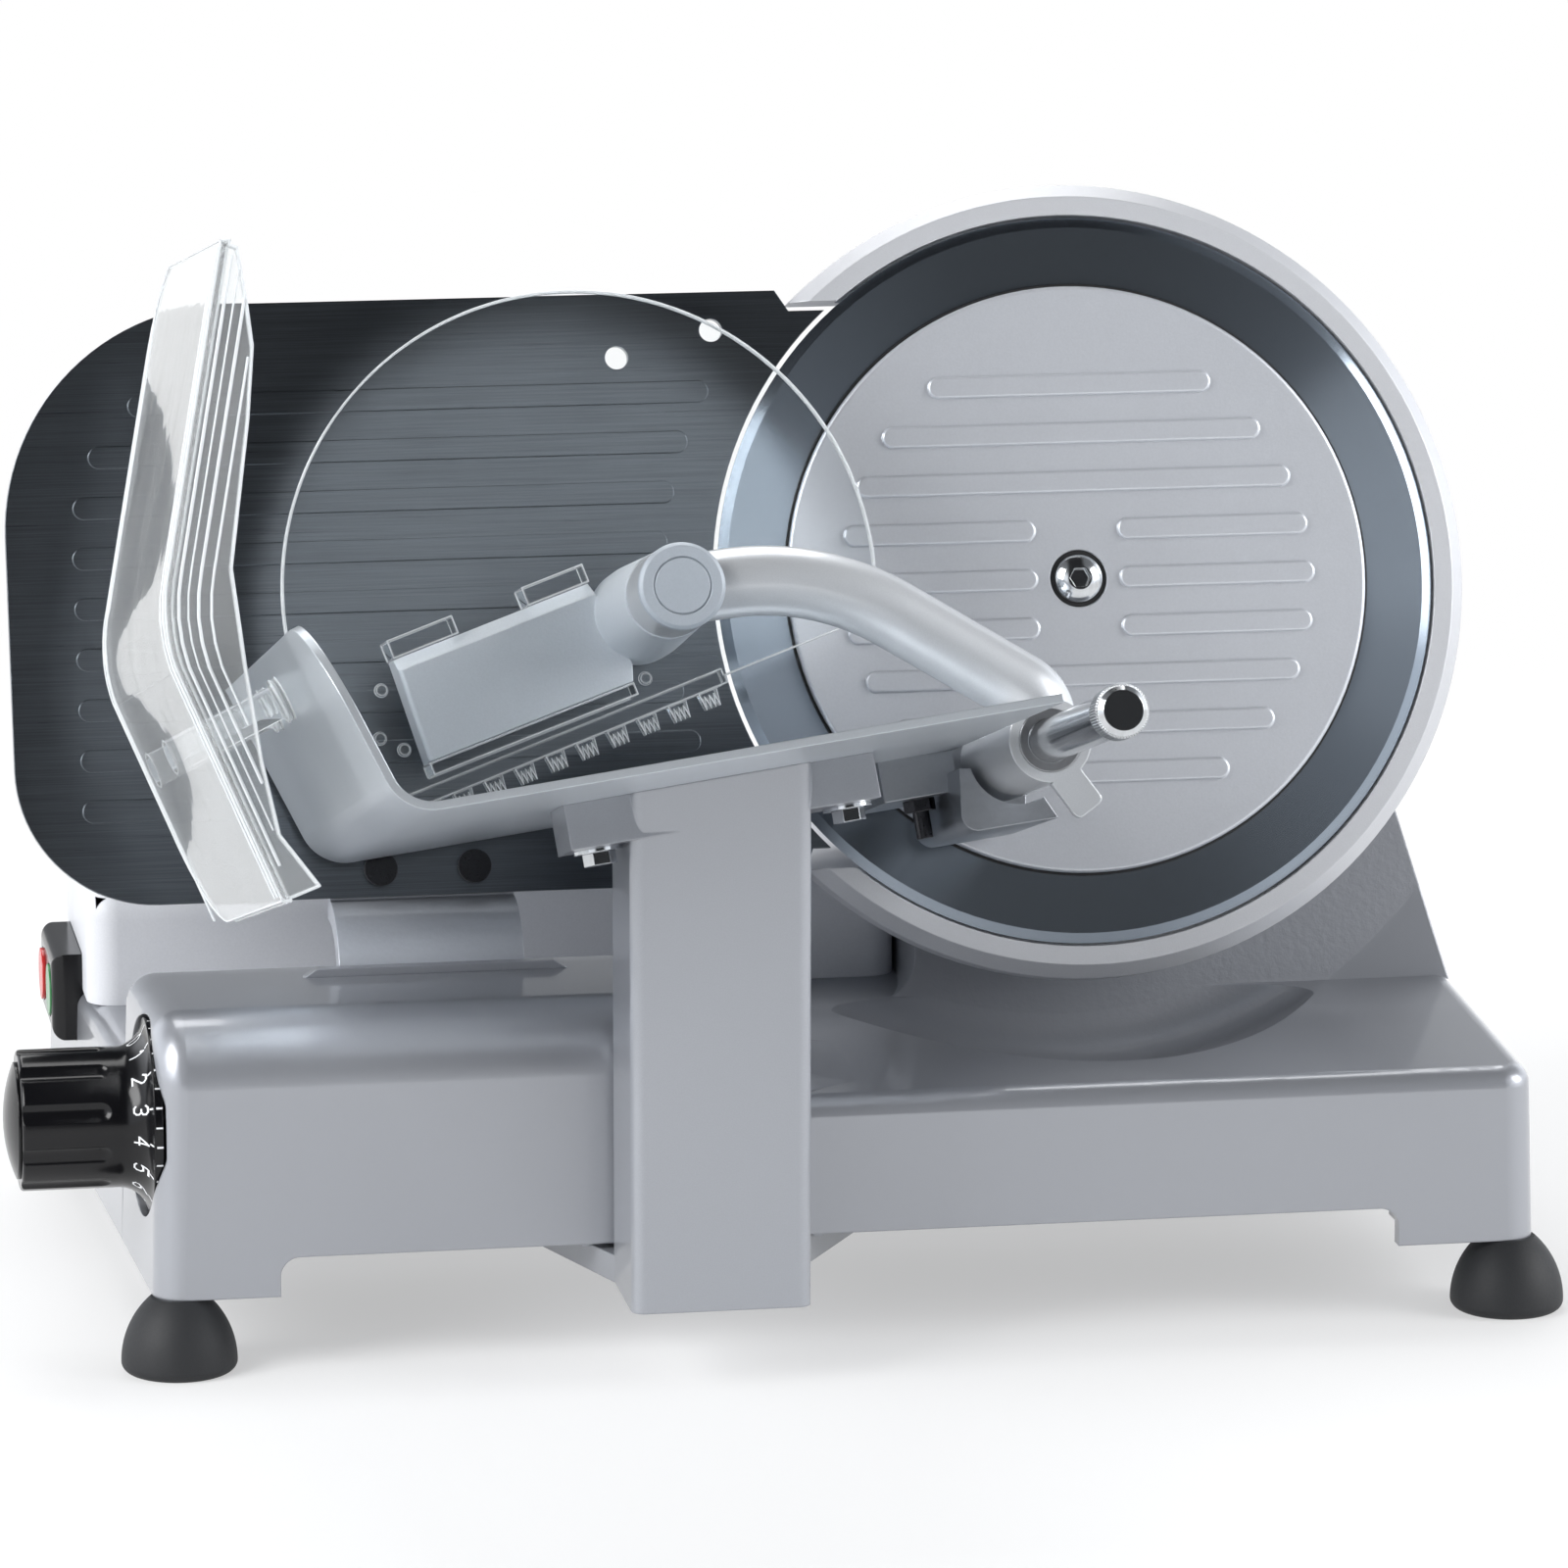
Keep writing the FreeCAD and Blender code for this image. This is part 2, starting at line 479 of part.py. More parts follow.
cover_plate = size("cover_plate", 4, "thickness of the tower's back cover")
cover_bottom = size("cover_bottom", 107.5, "bottom of the back cover below the axis")
axle_radius = size("axle_radius", 6, "radius of the fixed blade axle")
axle_collar = size("axle_collar", 9, "radius of the axle's front collar")
axle_boss = size("axle_boss", 18, "radius of the back cover's axle boss")
axle_boss_depth = size("axle_boss_depth", 10, "depth of that boss")
nut_flats = size("nut_flats", 17, "across the flats of the axle nut")
nut_height = size("nut_height", 7, "height of the axle nut")
hub_clear = size("hub_clear", 0.4, "space between the axle and the hub")
hub_flange = size("hub_flange", 34, "radius of the blade hub's flange")
hub_flange_depth = size("hub_flange_depth", 6, "depth of that flange")
hub_shoulder = size("hub_shoulder", 16, "radius of the hub's shoulder")
end_gap = size("end_gap", 0.4, "gap between turning faces")
blade_screw_reach = size("blade_screw_reach", 27, "blade screws from the axis")
blade_screw_count = size("blade_screw_count", 4, "number of blade screws")
pulley_radius = size("pulley_radius", 36, "radius of the blade pulley under the belt")
pulley_flange = size("pulley_flange", 2.5, "height of the pulley's side flanges")
pulley_width = size("pulley_width", 20, "width of the blade pulley")
pulley_web = size("pulley_web", 6, "web of the blade pulley")
pulley_rim = size("pulley_rim", 5, "rim of the blade pulley")
belt_width = size("belt_width", 14, "width of the drive belt")
belt_thickness = size("belt_thickness", 2.4, "thickness of the drive belt")
belt_gap = size("belt_gap", 0.3, "space between belt and pulleys")
motor_pulley_radius = size("motor_pulley_radius", 9, "radius of the motor pulley")
motor_shaft_radius = size("motor_shaft_radius", 4, "radius of the motor shaft")
motor_screw_reach = size("motor_screw_reach", 24, "motor screws from the motor axis")
disc_screw_radius = size("disc_screw_radius", 7.15, "radius of the centre screw's head")
disc_screw_height = size("disc_screw_height", 3.4, "height of the centre screw's head")
disc_screw_shank = size("disc_screw_shank", 3, "radius of the centre screw's shank")
disc_screw_hex = size("disc_screw_hex", 5.5, "across the flats of its socket")
disc_seat_radius = size("disc_seat_radius", 8.8, "radius of the seat round that screw")
disc_seat_depth = size("disc_seat_depth", 0.6, "depth of that seat")

doc.recompute()

foot_x = foot_span_x / 2
foot_y = foot_span_y / 2
base_front = foot_y + foot_inset
base_half = foot_x + foot_inset


# Document helpers

def bind(thing, path, value):
    """Bind one property, or one part of it, to a size."""
    thing.setExpression(path, as_size(value).text)


def move(thing, x=0, y=0, z=0):
    """Place an object in the world frame."""
    bind(thing, "Placement.Base.x", x)
    bind(thing, "Placement.Base.y", y)
    bind(thing, "Placement.Base.z", z)


def turn(thing, axis, angle):
    thing.Placement = Placement(Vector(0, 0, 0), Rotation(axis, float(angle)))
    bind(thing, "Placement.Rotation.Angle", angle)


def into_blade_frame(thing, x=0, y=0, z=0):
    """Place an object at a point of the blade frame, turned into that frame."""
    thing.Placement = Placement(Vector(0, 0, 0), Rotation(Vector(1, 0, 0), 90 - float(tilt)))
    bind(thing, "Placement.Rotation.Angle", 90 - tilt)
    move(thing, blade_x + x, blade_y + y * sine(tilt) - z * cosine(tilt),
         blade_z + y * cosine(tilt) + z * sine(tilt))


def swept_sketch(made):
    """A sketch through the blade axis: x to the right and y out of the blade."""
    drawn = new_sketch(made)
    drawn.AttachmentOffset = Placement(
        Vector(0, 0, 0), Rotation(Vector(1, 0, 0), 180 - float(tilt)))
    bind(drawn, "AttachmentOffset.Rotation.Angle", 180 - tilt)
    bind(drawn, "AttachmentOffset.Base.x", blade_x)
    bind(drawn, "AttachmentOffset.Base.y", blade_y)
    bind(drawn, "AttachmentOffset.Base.z", blade_z)
    return drawn


def new_body(label):
    made = doc.addObject("PartDesign::Body", label)
    made.Label = label
    return made


def new_piece(label):
    """A body that is written out as a piece of its own."""
    made = new_body(label)
    pieces.append(made)
    return made


def new_sketch(made, plane="XY", lift=0):
    """A sketch on one of the body's origin planes, lifted along its normal."""
    drawn = made.newObject("Sketcher::SketchObject", made.Name + "_sketch")
    origin = [f for f in made.Origin.OriginFeatures if f.Role == plane + "_Plane"][0]
    drawn.AttachmentSupport = (origin, [""])
    drawn.MapMode = "FlatFace"
    bind(drawn, "AttachmentOffset.Base.z", lift)
    return drawn


def hold(drawn, edge, end, x, y):
    """Hold one end of a sketch edge at sizes measured from the sketch origin."""
    for kind, value in (("DistanceX", x), ("DistanceY", y)):
        rule = drawn.addConstraint(Sketcher.Constraint(kind, -1, 1, edge, end, float(value)))
        if isinstance(value, Size):
            drawn.setExpression("Constraints[%d]" % rule, value.text)


def bow(start, end, radius):
    """Middle of an arc from start to end that bulges to the left of the way."""
    chord = end - start
    half = chord.Length / 2
    sag = abs(radius) - math.sqrt(max(radius * radius - half * half, 0))
    left = Vector(-chord.y, chord.x, 0).normalize()
    return (start + end) / 2 + left * math.copysign(sag, radius)


def outline(drawn, corners, closed=True):
    """A closed outline, or an open path. A corner is (x, y), or (x, y, radius)
    where an arc runs to the next one; a negative radius bulges to the right."""
    points = [Vector(float(c[0]), float(c[1]), 0) for c in corners]
    count = len(corners)
    first = drawn.GeometryCount
    if not closed:
        finish = corners[-1]
        corners = corners[:-1]
    for i, corner in enumerate(corners):
        start, end = points[i], points[(i + 1) % count]
        if len(corner) == 3:
            edge = Part.Arc(start, bow(start, end, float(corner[2])), end)
        else:
            edge = Part.LineSegment(start, end)
        drawn.addGeometry(edge, False)
    starts = []
    count = len(corners)
    for i in range(count):
        begins = 1
        if len(corners[i]) == 3 and float(corners[i][2]) > 0:
            begins = 2
        starts.append(begins)
    for i in range(count if closed else count - 1):
        here, there = first + i, first + (i + 1) % count
        drawn.addConstraint(Sketcher.Constraint(
            "Coincident", here, 3 - starts[i], there, starts[(i + 1) % count]))
    for i, corner in enumerate(corners):
        hold(drawn, first + i, starts[i], corner[0], corner[1])
        if len(corner) == 3:
            rule = drawn.addConstraint(
                Sketcher.Constraint("Radius", first + i, abs(float(corner[2]))))
            if isinstance(corner[2], Size):
                text = corner[2].text if float(corner[2]) > 0 else (-corner[2]).text
                drawn.setExpression("Constraints[%d]" % rule, text)
    if not closed:
        hold(drawn, first + count - 1, 3 - starts[-1], finish[0], finish[1])


def circle(drawn, x, y, radius):
    index = drawn.addGeometry(
        Part.Circle(Vector(float(x), float(y), 0), Vector(0, 0, 1), float(radius)), False)
    hold(drawn, index, 3, x, y)
    rule = drawn.addConstraint(Sketcher.Constraint("Radius", index, float(radius)))
    if isinstance(radius, Size):
        drawn.setExpression("Constraints[%d]" % rule, radius.text)


def rectangle(drawn, left, bottom, right, top):
    outline(drawn, [(left, bottom), (right, bottom), (right, top), (left, top)])


def pad(made, drawn, length, backwards=False, both_ways=False, taper=None, aside=None):
    grown = made.newObject("PartDesign::Pad", made.Name + "_pad")
    grown.Profile = drawn
    bind(grown, "Length", length)
    grown.Reversed = backwards
    grown.Midplane = both_ways
    if taper is not None:
        bind(grown, "TaperAngle", taper)
    if aside is not None:
        grown.UseCustomVector = True
        grown.Direction = Vector(float(aside), 0, float(length))
        bind(grown, "Direction.x", aside)
        bind(grown, "Direction.z", length)
        grown.AlongSketchNormal = True
    doc.recompute()
    return grown


def pocket(made, drawn, length, backwards=False, both_ways=False):
    """Cut a pocket and make sure that it removes something."""
    before = made.Shape.Volume
    cut = made.newObject("PartDesign::Pocket", made.Name + "_pocket")
    cut.Profile = drawn
    bind(cut, "Length", length)
    cut.Reversed = backwards
    cut.Midplane = both_ways
    doc.recompute()
    if not made.Shape.Volume < before:
        raise RuntimeError("%s: a pocket cuts nothing" % made.Label)
    return cut


def revolve(made, drawn, axis="V_Axis", angle=360, cuts=False):
    kind = "Groove" if cuts else "Revolution"
    before = made.Shape.Volume if cuts else 0
    spun = made.newObject("PartDesign::" + kind, made.Name + "_" + kind.lower())
    spun.Profile = drawn
    spun.ReferenceAxis = (drawn, [axis])
    bind(spun, "Angle", angle)
    doc.recompute()
    if cuts and not made.Shape.Volume < before:
        raise RuntimeError("%s: a groove cuts nothing" % made.Label)
    return spun


def around(made, feature, count, axis="Z_Axis"):
    """Repeat a feature around one of the body's own axes."""
    pattern = made.newObject("PartDesign::PolarPattern", made.Name + "_pattern")
    pattern.Originals = [feature]
    line = [f for f in made.Origin.OriginFeatures if f.Role == axis][0]
    pattern.Axis = (line, [""])
    pattern.Angle = 360
    bind(pattern, "Occurrences", count)
    made.Tip = pattern
    doc.recompute()
    return pattern


def along(made, feature, pitch, count, axis="X_Axis"):
    """Repeat a feature in a row along one of the body's own axes."""
    pattern = made.newObject("PartDesign::LinearPattern", made.Name + "_row")
    pattern.Originals = [feature]
    line = [f for f in made.Origin.OriginFeatures if f.Role == axis][0]
    pattern.Direction = (line, [""])
    bind(pattern, "Length", pitch * (count - 1))
    pattern.Occurrences = int(float(count))
    made.Tip = pattern
    doc.recompute()
    return pattern


def edges_where(feature, wanted):
    """Names of the edges whose middle, ends and direction satisfy a test."""
    names = []
    for number, edge in enumerate(feature.Shape.Edges, 1):
        low, high = edge.ParameterRange
        middle = edge.valueAt((low + high) / 2)
        way = edge.tangentAt((low + high) / 2)
        if wanted(middle, way, edge):
            names.append("Edge%d" % number)
    return names


def soften(made, feature, names, amount, kind="Fillet"):
    """Fillet or chamfer named edges of the body's last feature."""
    if not names:
        raise RuntimeError("%s: no edge to soften" % made.Label)
    worked = made.newObject("PartDesign::" + kind, made.Name + "_" + kind.lower())
    worked.Base = (feature, names)
    bind(worked, "Radius" if kind == "Fillet" else "Size", amount)
    doc.recompute()
    return worked


def near(value, target, slack=0.05):
    return abs(float(value) - float(target)) < slack


def turned(label, corners, plane="XZ"):
    """A body turned about Z from a profile of (radius, height) corners."""
    made = new_body(label)
    drawn = new_sketch(made, plane)
    outline(drawn, corners)
    revolve(made, drawn)
    return made


def tube(label, outer, inner, length):
    """A plain round tube from the origin along Z."""
    made = new_body(label)
    drawn = new_sketch(made)
    circle(drawn, 0, 0, outer)
    circle(drawn, 0, 0, inner)
    pad(made, drawn, length)
    return made


def blade_sketch(made, lift=0):
    """A sketch parallel to the blade, at a height in the blade frame."""
    drawn = new_sketch(made)
    drawn.AttachmentOffset = Placement(
        Vector(0, 0, 0), Rotation(Vector(1, 0, 0), 90 - float(tilt)))
    bind(drawn, "AttachmentOffset.Rotation.Angle", 90 - tilt)
    bind(drawn, "AttachmentOffset.Base.x", blade_x)
    bind(drawn, "AttachmentOffset.Base.y", blade_y - lift * cosine(tilt))
    bind(drawn, "AttachmentOffset.Base.z", blade_z + lift * sine(tilt))
    return drawn


# Base casting

flare_shift = 2 * base_front * tangent(base_flare)
slope_end = slope_start + slope_length
slope_drop = nose_top - deck_top
slope_radius = (slope_length * slope_length + slope_drop * slope_drop) / (4 * slope_drop)
beyond = 2 * base_half


def end_at(y):
    """Half width of the base under its deck at a depth."""
    return base_half + (base_front + y) * tangent(base_flare)


def is_upright(middle, way, edge):
    return abs(way.z) > 0.9


inside_front = base_wall - base_front
inside_back = base_front - base_wall
block_depth = corner_block - base_wall


def hollow_out(made):
    """Open the casting from below and leave solid corners over the feet."""
    drawn = new_sketch(made, "XY", foot_height)
    outline(drawn, [
        (corner_block - base_half, inside_front), (base_half - corner_block, inside_front),
        (base_half - corner_block, inside_front + block_depth),
        (end_at(inside_front + block_depth) - base_wall, inside_front + block_depth),
        (end_at(inside_back - block_depth) - base_wall, inside_back - block_depth),
        (end_at(inside_back) - corner_block, inside_back - block_depth),
        (end_at(inside_back) - corner_block, inside_back),
        (corner_block - end_at(inside_back), inside_back),
        (corner_block - end_at(inside_back), inside_back - block_depth),
        (base_wall - end_at(inside_back - block_depth), inside_back - block_depth),
        (base_wall - end_at(knob_wall_back), knob_wall_back),
        (base_wall + knob_wall - base_half, knob_wall_back),
        (base_wall + knob_wall - base_half, inside_front + block_depth),
        (corner_block - base_half, inside_front + block_depth)])
    return pocket(made, drawn, deck_top - base_wall - foot_height, backwards=True)


deck = new_body("deck_block")
drawn = new_sketch(deck, "XY", foot_height)
outline(drawn, [(slope_start, -base_front), (base_half, -base_front),
                (end_at(base_front), base_front), (-end_at(base_front), base_front),
                (-end_at(nose_back - base_wall), nose_back - base_wall),
                (slope_start, nose_back - base_wall)])
step = pad(deck, drawn, deck_top - foot_height, taper=-base_draft)
step = soften(deck, step, edges_where(
    step, lambda middle, way, edge: is_upright(middle, way, edge)
    and (middle.y > 100 or middle.x > 100)), corner_round)
step = soften(deck, step, edges_where(
    step, lambda middle, way, edge: near(middle.z, deck_top)
    and (middle.y < -100 or middle.x > 150) and abs(way.x) > 0.95), deck_round)
hollow_out(deck)

# Cradle below the round clearance, trimmed flush with the deck
cradle_radius = scoop_radius + base_wall
deck_drop = blade_z - deck_top
cradle_top = (deck_drop - tower_setback * sine(tilt)) / cosine(tilt)
cradle_half = root(cradle_radius * cradle_radius - cradle_top * cradle_top)
drawn = blade_sketch(deck, -tower_setback - base_wall)
outline(drawn, [(-cradle_half, -cradle_top, -cradle_radius), (cradle_half, -cradle_top)])
pad(deck, drawn, tower_setback + base_wall + scoop_front / 2)
drawn = new_sketch(deck, "XY", deck_top + scoop_radius)
rectangle(drawn, -beyond, -beyond, beyond, beyond)
pocket(deck, drawn, scoop_radius)

# Guide rib and the pillars that hold the bottom plate
drawn = new_sketch(deck, "XY", rail_bottom + rail_height)
rectangle(drawn, -rail_reach, rail_y - rail_half, rail_reach, rail_y + rail_half)
pad(deck, drawn, deck_top - base_wall / 2 - rail_bottom - rail_height)
drawn = new_sketch(deck, "XY", foot_height + base_plate_thickness)
for x in (-pillar_x, pillar_x):
    for y in (pillar_front, pillar_back):
        circle(drawn, x, y, pillar_radius)
pad(deck, drawn, deck_top - base_wall / 2 - foot_height - base_plate_thickness)

# Tower
tower_bottom = (deck_drop + 1 - tower_setback * sine(tilt)) / cosine(tilt)
tower_shoulder = root(tower_radius * tower_radius - tower_left * tower_left)


def tower_plan(drawn, inset, bottom, blend):
    radius = tower_radius - inset
    left = tower_left - inset
    shoulder = root(radius * radius - left * left)
    corners = [
        ((radius + bottom * sine(tower_slant)) / cosine(tower_slant), -bottom),
        (radius * cosine(tower_slant), radius * sine(tower_slant), -radius),
        (-0.6 * radius, 0.8 * radius, -radius), (-left, -shoulder)]
    if float(blend) > 0:
        corners += [(-left, blend - bottom, blend), (-left - blend, -bottom)]
    else:
        corners += [(-left, -bottom)]
    outline(drawn, corners)


drawn = blade_sketch(deck, -tower_setback)
tower_plan(drawn, 0, tower_bottom, tower_foot_blend)
pad(deck, drawn, tower_depth, backwards=True)
drawn = swept_sketch(deck)
outline(drawn, [
    (0, -tower_setback), (scoop_radius - scoop_round, -tower_setback, -scoop_round),
    (scoop_radius, scoop_round - tower_setback), (scoop_radius, scoop_front), (0, scoop_front)])
revolve(deck, drawn, cuts=True)
drawn = blade_sketch(deck, -tower_setback - tower_depth)
tower_plan(drawn, tower_wall, motor_drop + 4 * tower_wall, 0)
pocket(deck, drawn, tower_depth - tower_wall, backwards=True)
drawn = blade_sketch(deck, -boss_front)
circle(drawn, 0, 0, boss_radius)
pad(deck, drawn, boss_depth, backwards=True)
drawn = blade_sketch(deck, -boss_front)
circle(drawn, 0, 0, bore_throat)
pocket(deck, drawn, boss_depth)
drawn = blade_sketch(deck, -boss_front)
circle(drawn, 0, 0, bearing_outer)
pocket(deck, drawn, bearing_width)
drawn = blade_sketch(deck, -boss_front - boss_depth)
circle(drawn, 0, 0, bearing_outer)
pocket(deck, drawn, bearing_width, backwards=True)
drawn = new_sketch(deck, "XY", deck_top)
motor_half = motor_radius + motor_gap
motor_front = (blade_y - deck_drop * tangent(tilt)
               + (tower_setback + tower_depth + end_gap) / cosine(tilt))
rectangle(drawn, blade_x - motor_half, motor_front, blade_x + motor_half,
          inside_back - motor_gap)
pocket(deck, drawn, 2 * base_wall)

base = new_piece("base_casting")
drawn = new_sketch(base, "XY", foot_height)
outline(drawn, [(-base_half, -base_front), (slope_end + base_wall, -base_front),
                (slope_end + base_wall, nose_back), (-end_at(nose_back), nose_back)])
step = pad(base, drawn, nose_top - foot_height, taper=-base_draft)
drawn = new_sketch(base, "XZ")
outline(drawn, [(slope_start, nose_top, slope_radius),
                ((slope_start + slope_end) / 2, (nose_top + deck_top) / 2, -slope_radius),
                (slope_end, deck_top), (slope_end + 2 * base_wall, deck_top),
                (slope_end + 2 * base_wall, nose_top + base_wall),
                (slope_start, nose_top + base_wall)])
step = pocket(base, drawn, 2 * beyond, both_ways=True)
step = soften(base, step, edges_where(
    step, lambda middle, way, edge: middle.y < -100 and middle.z > 70
    and abs(way.x) > 0.5), nose_round)
step = soften(base, step, edges_where(
    step, lambda middle, way, edge: middle.x < -198 and middle.z > 30
    and (abs(way.y) > 0.9 or (middle.y < -100 and abs(way.x) < 0.5))), corner_round)
step = soften(base, step, edges_where(
    step, lambda middle, way, edge: near(middle.y, nose_back, 3) and middle.z > deck_top
    and abs(way.x) > 0.5), nose_back_round)
hollow_out(base)
room_left = base_wall + knob_wall - base_half
room_top = nose_top - base_wall
room_bend = nose_round - base_wall
drawn = new_sketch(base, "YZ", room_left)
outline(drawn, [
    (inside_front + base_wall / 2, deck_top - 2 * base_wall),
    (nose_back - base_wall, deck_top - 2 * base_wall), (nose_back - base_wall, room_top),
    (inside_front + room_bend, room_top),
    (inside_front + base_wall / 2, room_top - room_bend - base_wall / 2)])
pocket(base, drawn, slope_start - room_left, backwards=True)
joined = base.newObject("PartDesign::Boolean", "base_joined")
joined.Type = "Fuse"
joined.addObjects([deck])
doc.recompute()

# Openings and seats in the base casting
drawn = new_sketch(base, "XZ")
step_round = (skirt_bottom - foot_height) / 2
outline(drawn, [
    (block_left - base_half, foot_height - base_wall),
    (block_left - base_half, skirt_bottom - step_round, step_round),
    (block_left - base_half + step_round, skirt_bottom),
    (base_half - block_right - step_round, skirt_bottom, step_round),
    (base_half - block_right, skirt_bottom - step_round),
    (base_half - block_right, foot_height - base_wall)])
pocket(base, drawn, 2 * beyond, both_ways=True)
drawn = new_sketch(base, "YZ", -beyond)
circle(drawn, knob_y, knob_z, dial_recess_radius)
pocket(base, drawn, beyond - base_half + dial_recess, backwards=True)
drawn = new_sketch(base, "YZ", -beyond)
circle(drawn, knob_y, knob_z, knob_bore)
pocket(base, drawn, beyond - base_half + base_wall + knob_wall + 1, backwards=True)
drawn = new_sketch(base, "XY", nose_top + base_wall)
rectangle(drawn, slot_left, slot_front, slot_right, nose_back + base_wall)
pocket(base, drawn, nose_top + base_wall - slot_floor)
drawn = new_sketch(base, "YZ", -beyond)
rectangle(drawn, switch_front - switch_gap, switch_low - switch_gap,
          switch_front + switch_length + switch_gap, deck_top + base_wall)
pocket(base, drawn, beyond + switch_right + switch_gap, backwards=True)
drawn = new_sketch(base, "XZ", -base_front - base_wall)
circle(drawn, gland_x, gland_z, gland_radius + fit)
pocket(base, drawn, 3 * base_wall, backwards=True)

# Bosses for the gauge's guide bar and the bore through them
for front_end in (bar_front + bar_boss_depth / 2, bar_boss_depth - bar_back):
    drawn = blade_sketch(base, front_end)
    circle(drawn, -bar_x, -bar_drop, bar_boss)
    length = bar_boss_depth * 1.5 if float(front_end) > float(bar_front) else bar_boss_depth
    pad(base, drawn, length, backwards=True)
drawn = blade_sketch(base, -bar_back)
circle(drawn, -bar_x, -bar_drop, bar_radius)
pocket(base, drawn, bar_front + bar_back, backwards=True)

# Screw bores
drawn = new_sketch(base, "XY", foot_height)
for x in (-pillar_x, pillar_x):
    for y in (pillar_front, pillar_back):
        circle(drawn, x, y, bolt_radius + fit)
for x in (-foot_x, foot_x):
    for y in (-foot_y, foot_y):
        circle(drawn, x, y, foot_bore + fit)
pocket(base, drawn, foot_bore_depth, backwards=True)
block_face = base_half - corner_block
drawn = new_sketch(base, "YZ", -block_face - rod_seat)
circle(drawn, rod_y, rod_z, rod_radius + fit)
pocket(base, drawn, 2 * block_face + 2 * rod_seat, backwards=True)
drawn = blade_sketch(base, -tower_setback)
for number in range(3):
    circle(drawn, arm_screw_reach * cosine(120 * number), arm_screw_reach * sine(120 * number),
           bolt_radius + fit)
pocket(base, drawn, tower_wall)
drawn = blade_sketch(base, -tower_setback - tower_wall)
for number in range(3):
    circle(drawn, arm_screw_reach * cosine(120 * number), arm_screw_reach * sine(120 * number),
           2 * bolt_radius + 4 * fit)
pocket(base, drawn, 2 * bolt_radius)


def ring_of_holes(drawn, count, reach, radius, start=0):
    for number in range(count):
        angle = start + 360 * number / count
        circle(drawn, reach * cosine(angle), reach * sine(angle), radius)


def rounded_box(made, drawn, height, amount):
    """A block from a drawn plan with rounded upright and upper edges."""
    step = pad(made, drawn, height)
    top = step.Shape.BoundBox.ZMax
    return soften(made, step, edges_where(
        step, lambda middle, way, edge: is_upright(middle, way, edge) or near(middle.z, top)),
        amount)


# Feet and what closes the base below

foot_names = (("front_left", -1, -1), ("front_right", 1, -1),
              ("rear_left", -1, 1), ("rear_right", 1, 1))
head_radius = foot_bore * 1.8
head_depth = foot_height / 4
for name, side, end in foot_names:
    foot = new_piece("foot_" + name)
    drawn = new_sketch(foot, "XZ")
    outline(drawn, [
        (head_radius + 2 * fit, 0), (foot_radius - 2, 0, -foot_bore),
        (foot_radius, foot_bore, -2 * foot_top_radius * 1.6), (foot_top_radius, foot_height),
        (foot_bore + 2 * fit, foot_height), (foot_bore + 2 * fit, 2 * head_depth),
        (head_radius + 2 * fit, 2 * head_depth)])
    revolve(foot, drawn)
    move(foot, side * foot_x, end * foot_y)
screws = new_piece("foot_screws")
drawn = new_sketch(screws, "XY", head_depth)
for name, side, end in foot_names:
    circle(drawn, side * foot_x, end * foot_y, head_radius)
pad(screws, drawn, head_depth)
drawn = new_sketch(screws, "XY", 2 * head_depth)
for name, side, end in foot_names:
    circle(drawn, side * foot_x, end * foot_y, foot_bore)
pad(screws, drawn, foot_height + foot_bore_depth * 0.8 - 2 * head_depth)

bottom = new_piece("bottom_plate")
drawn = new_sketch(bottom, "XY", foot_height)
plate_half = base_half - 2
rectangle(drawn, -plate_half, pillar_front - 2 * pillar_radius, plate_half,
          pillar_back + 2 * pillar_radius)
step = pad(bottom, drawn, base_plate_thickness)
soften(bottom, step, edges_where(step, is_upright), pillar_radius)
drawn = new_sketch(bottom, "XY", foot_height)
for x in (-pillar_x, pillar_x):
    for y in (pillar_front, pillar_back):
        circle(drawn, x, y, bolt_radius + fit)
pocket(bottom, drawn, base_plate_thickness, backwards=True)
screws = new_piece("bottom_screws")
drawn = new_sketch(screws, "XY", foot_height)
for x in (-pillar_x, pillar_x):
    for y in (pillar_front, pillar_back):
        circle(drawn, x, y, 2 * bolt_radius)
pad(screws, drawn, bolt_radius, backwards=True)
drawn = new_sketch(screws, "XY", foot_height)
for x in (-pillar_x, pillar_x):
    for y in (pillar_front, pillar_back):
        circle(drawn, x, y, bolt_radius)
pad(screws, drawn, foot_bore_depth * 0.8)

# Electrics

cover = new_piece("electrics_cover")
drawn = new_sketch(cover, "XY", deck_top)
rectangle(drawn, cover_left, cover_front, cover_right, cover_back)
rounded_box(cover, drawn, cover_top - deck_top, cover_round)
drawn = new_sketch(cover, "XY", deck_top)
rectangle(drawn, cover_left + cover_wall, cover_front + cover_wall,
          cover_right - cover_wall, cover_back - cover_wall)
pocket(cover, drawn, cover_top - deck_top - cover_wall, backwards=True)
drawn = new_sketch(cover, "YZ", cover_left - base_wall)
rectangle(drawn, switch_front - switch_gap, deck_top - base_wall,
          switch_front + switch_length + switch_gap, switch_high + switch_gap)
pocket(cover, drawn, base_wall + 2 * cover_wall, backwards=True)

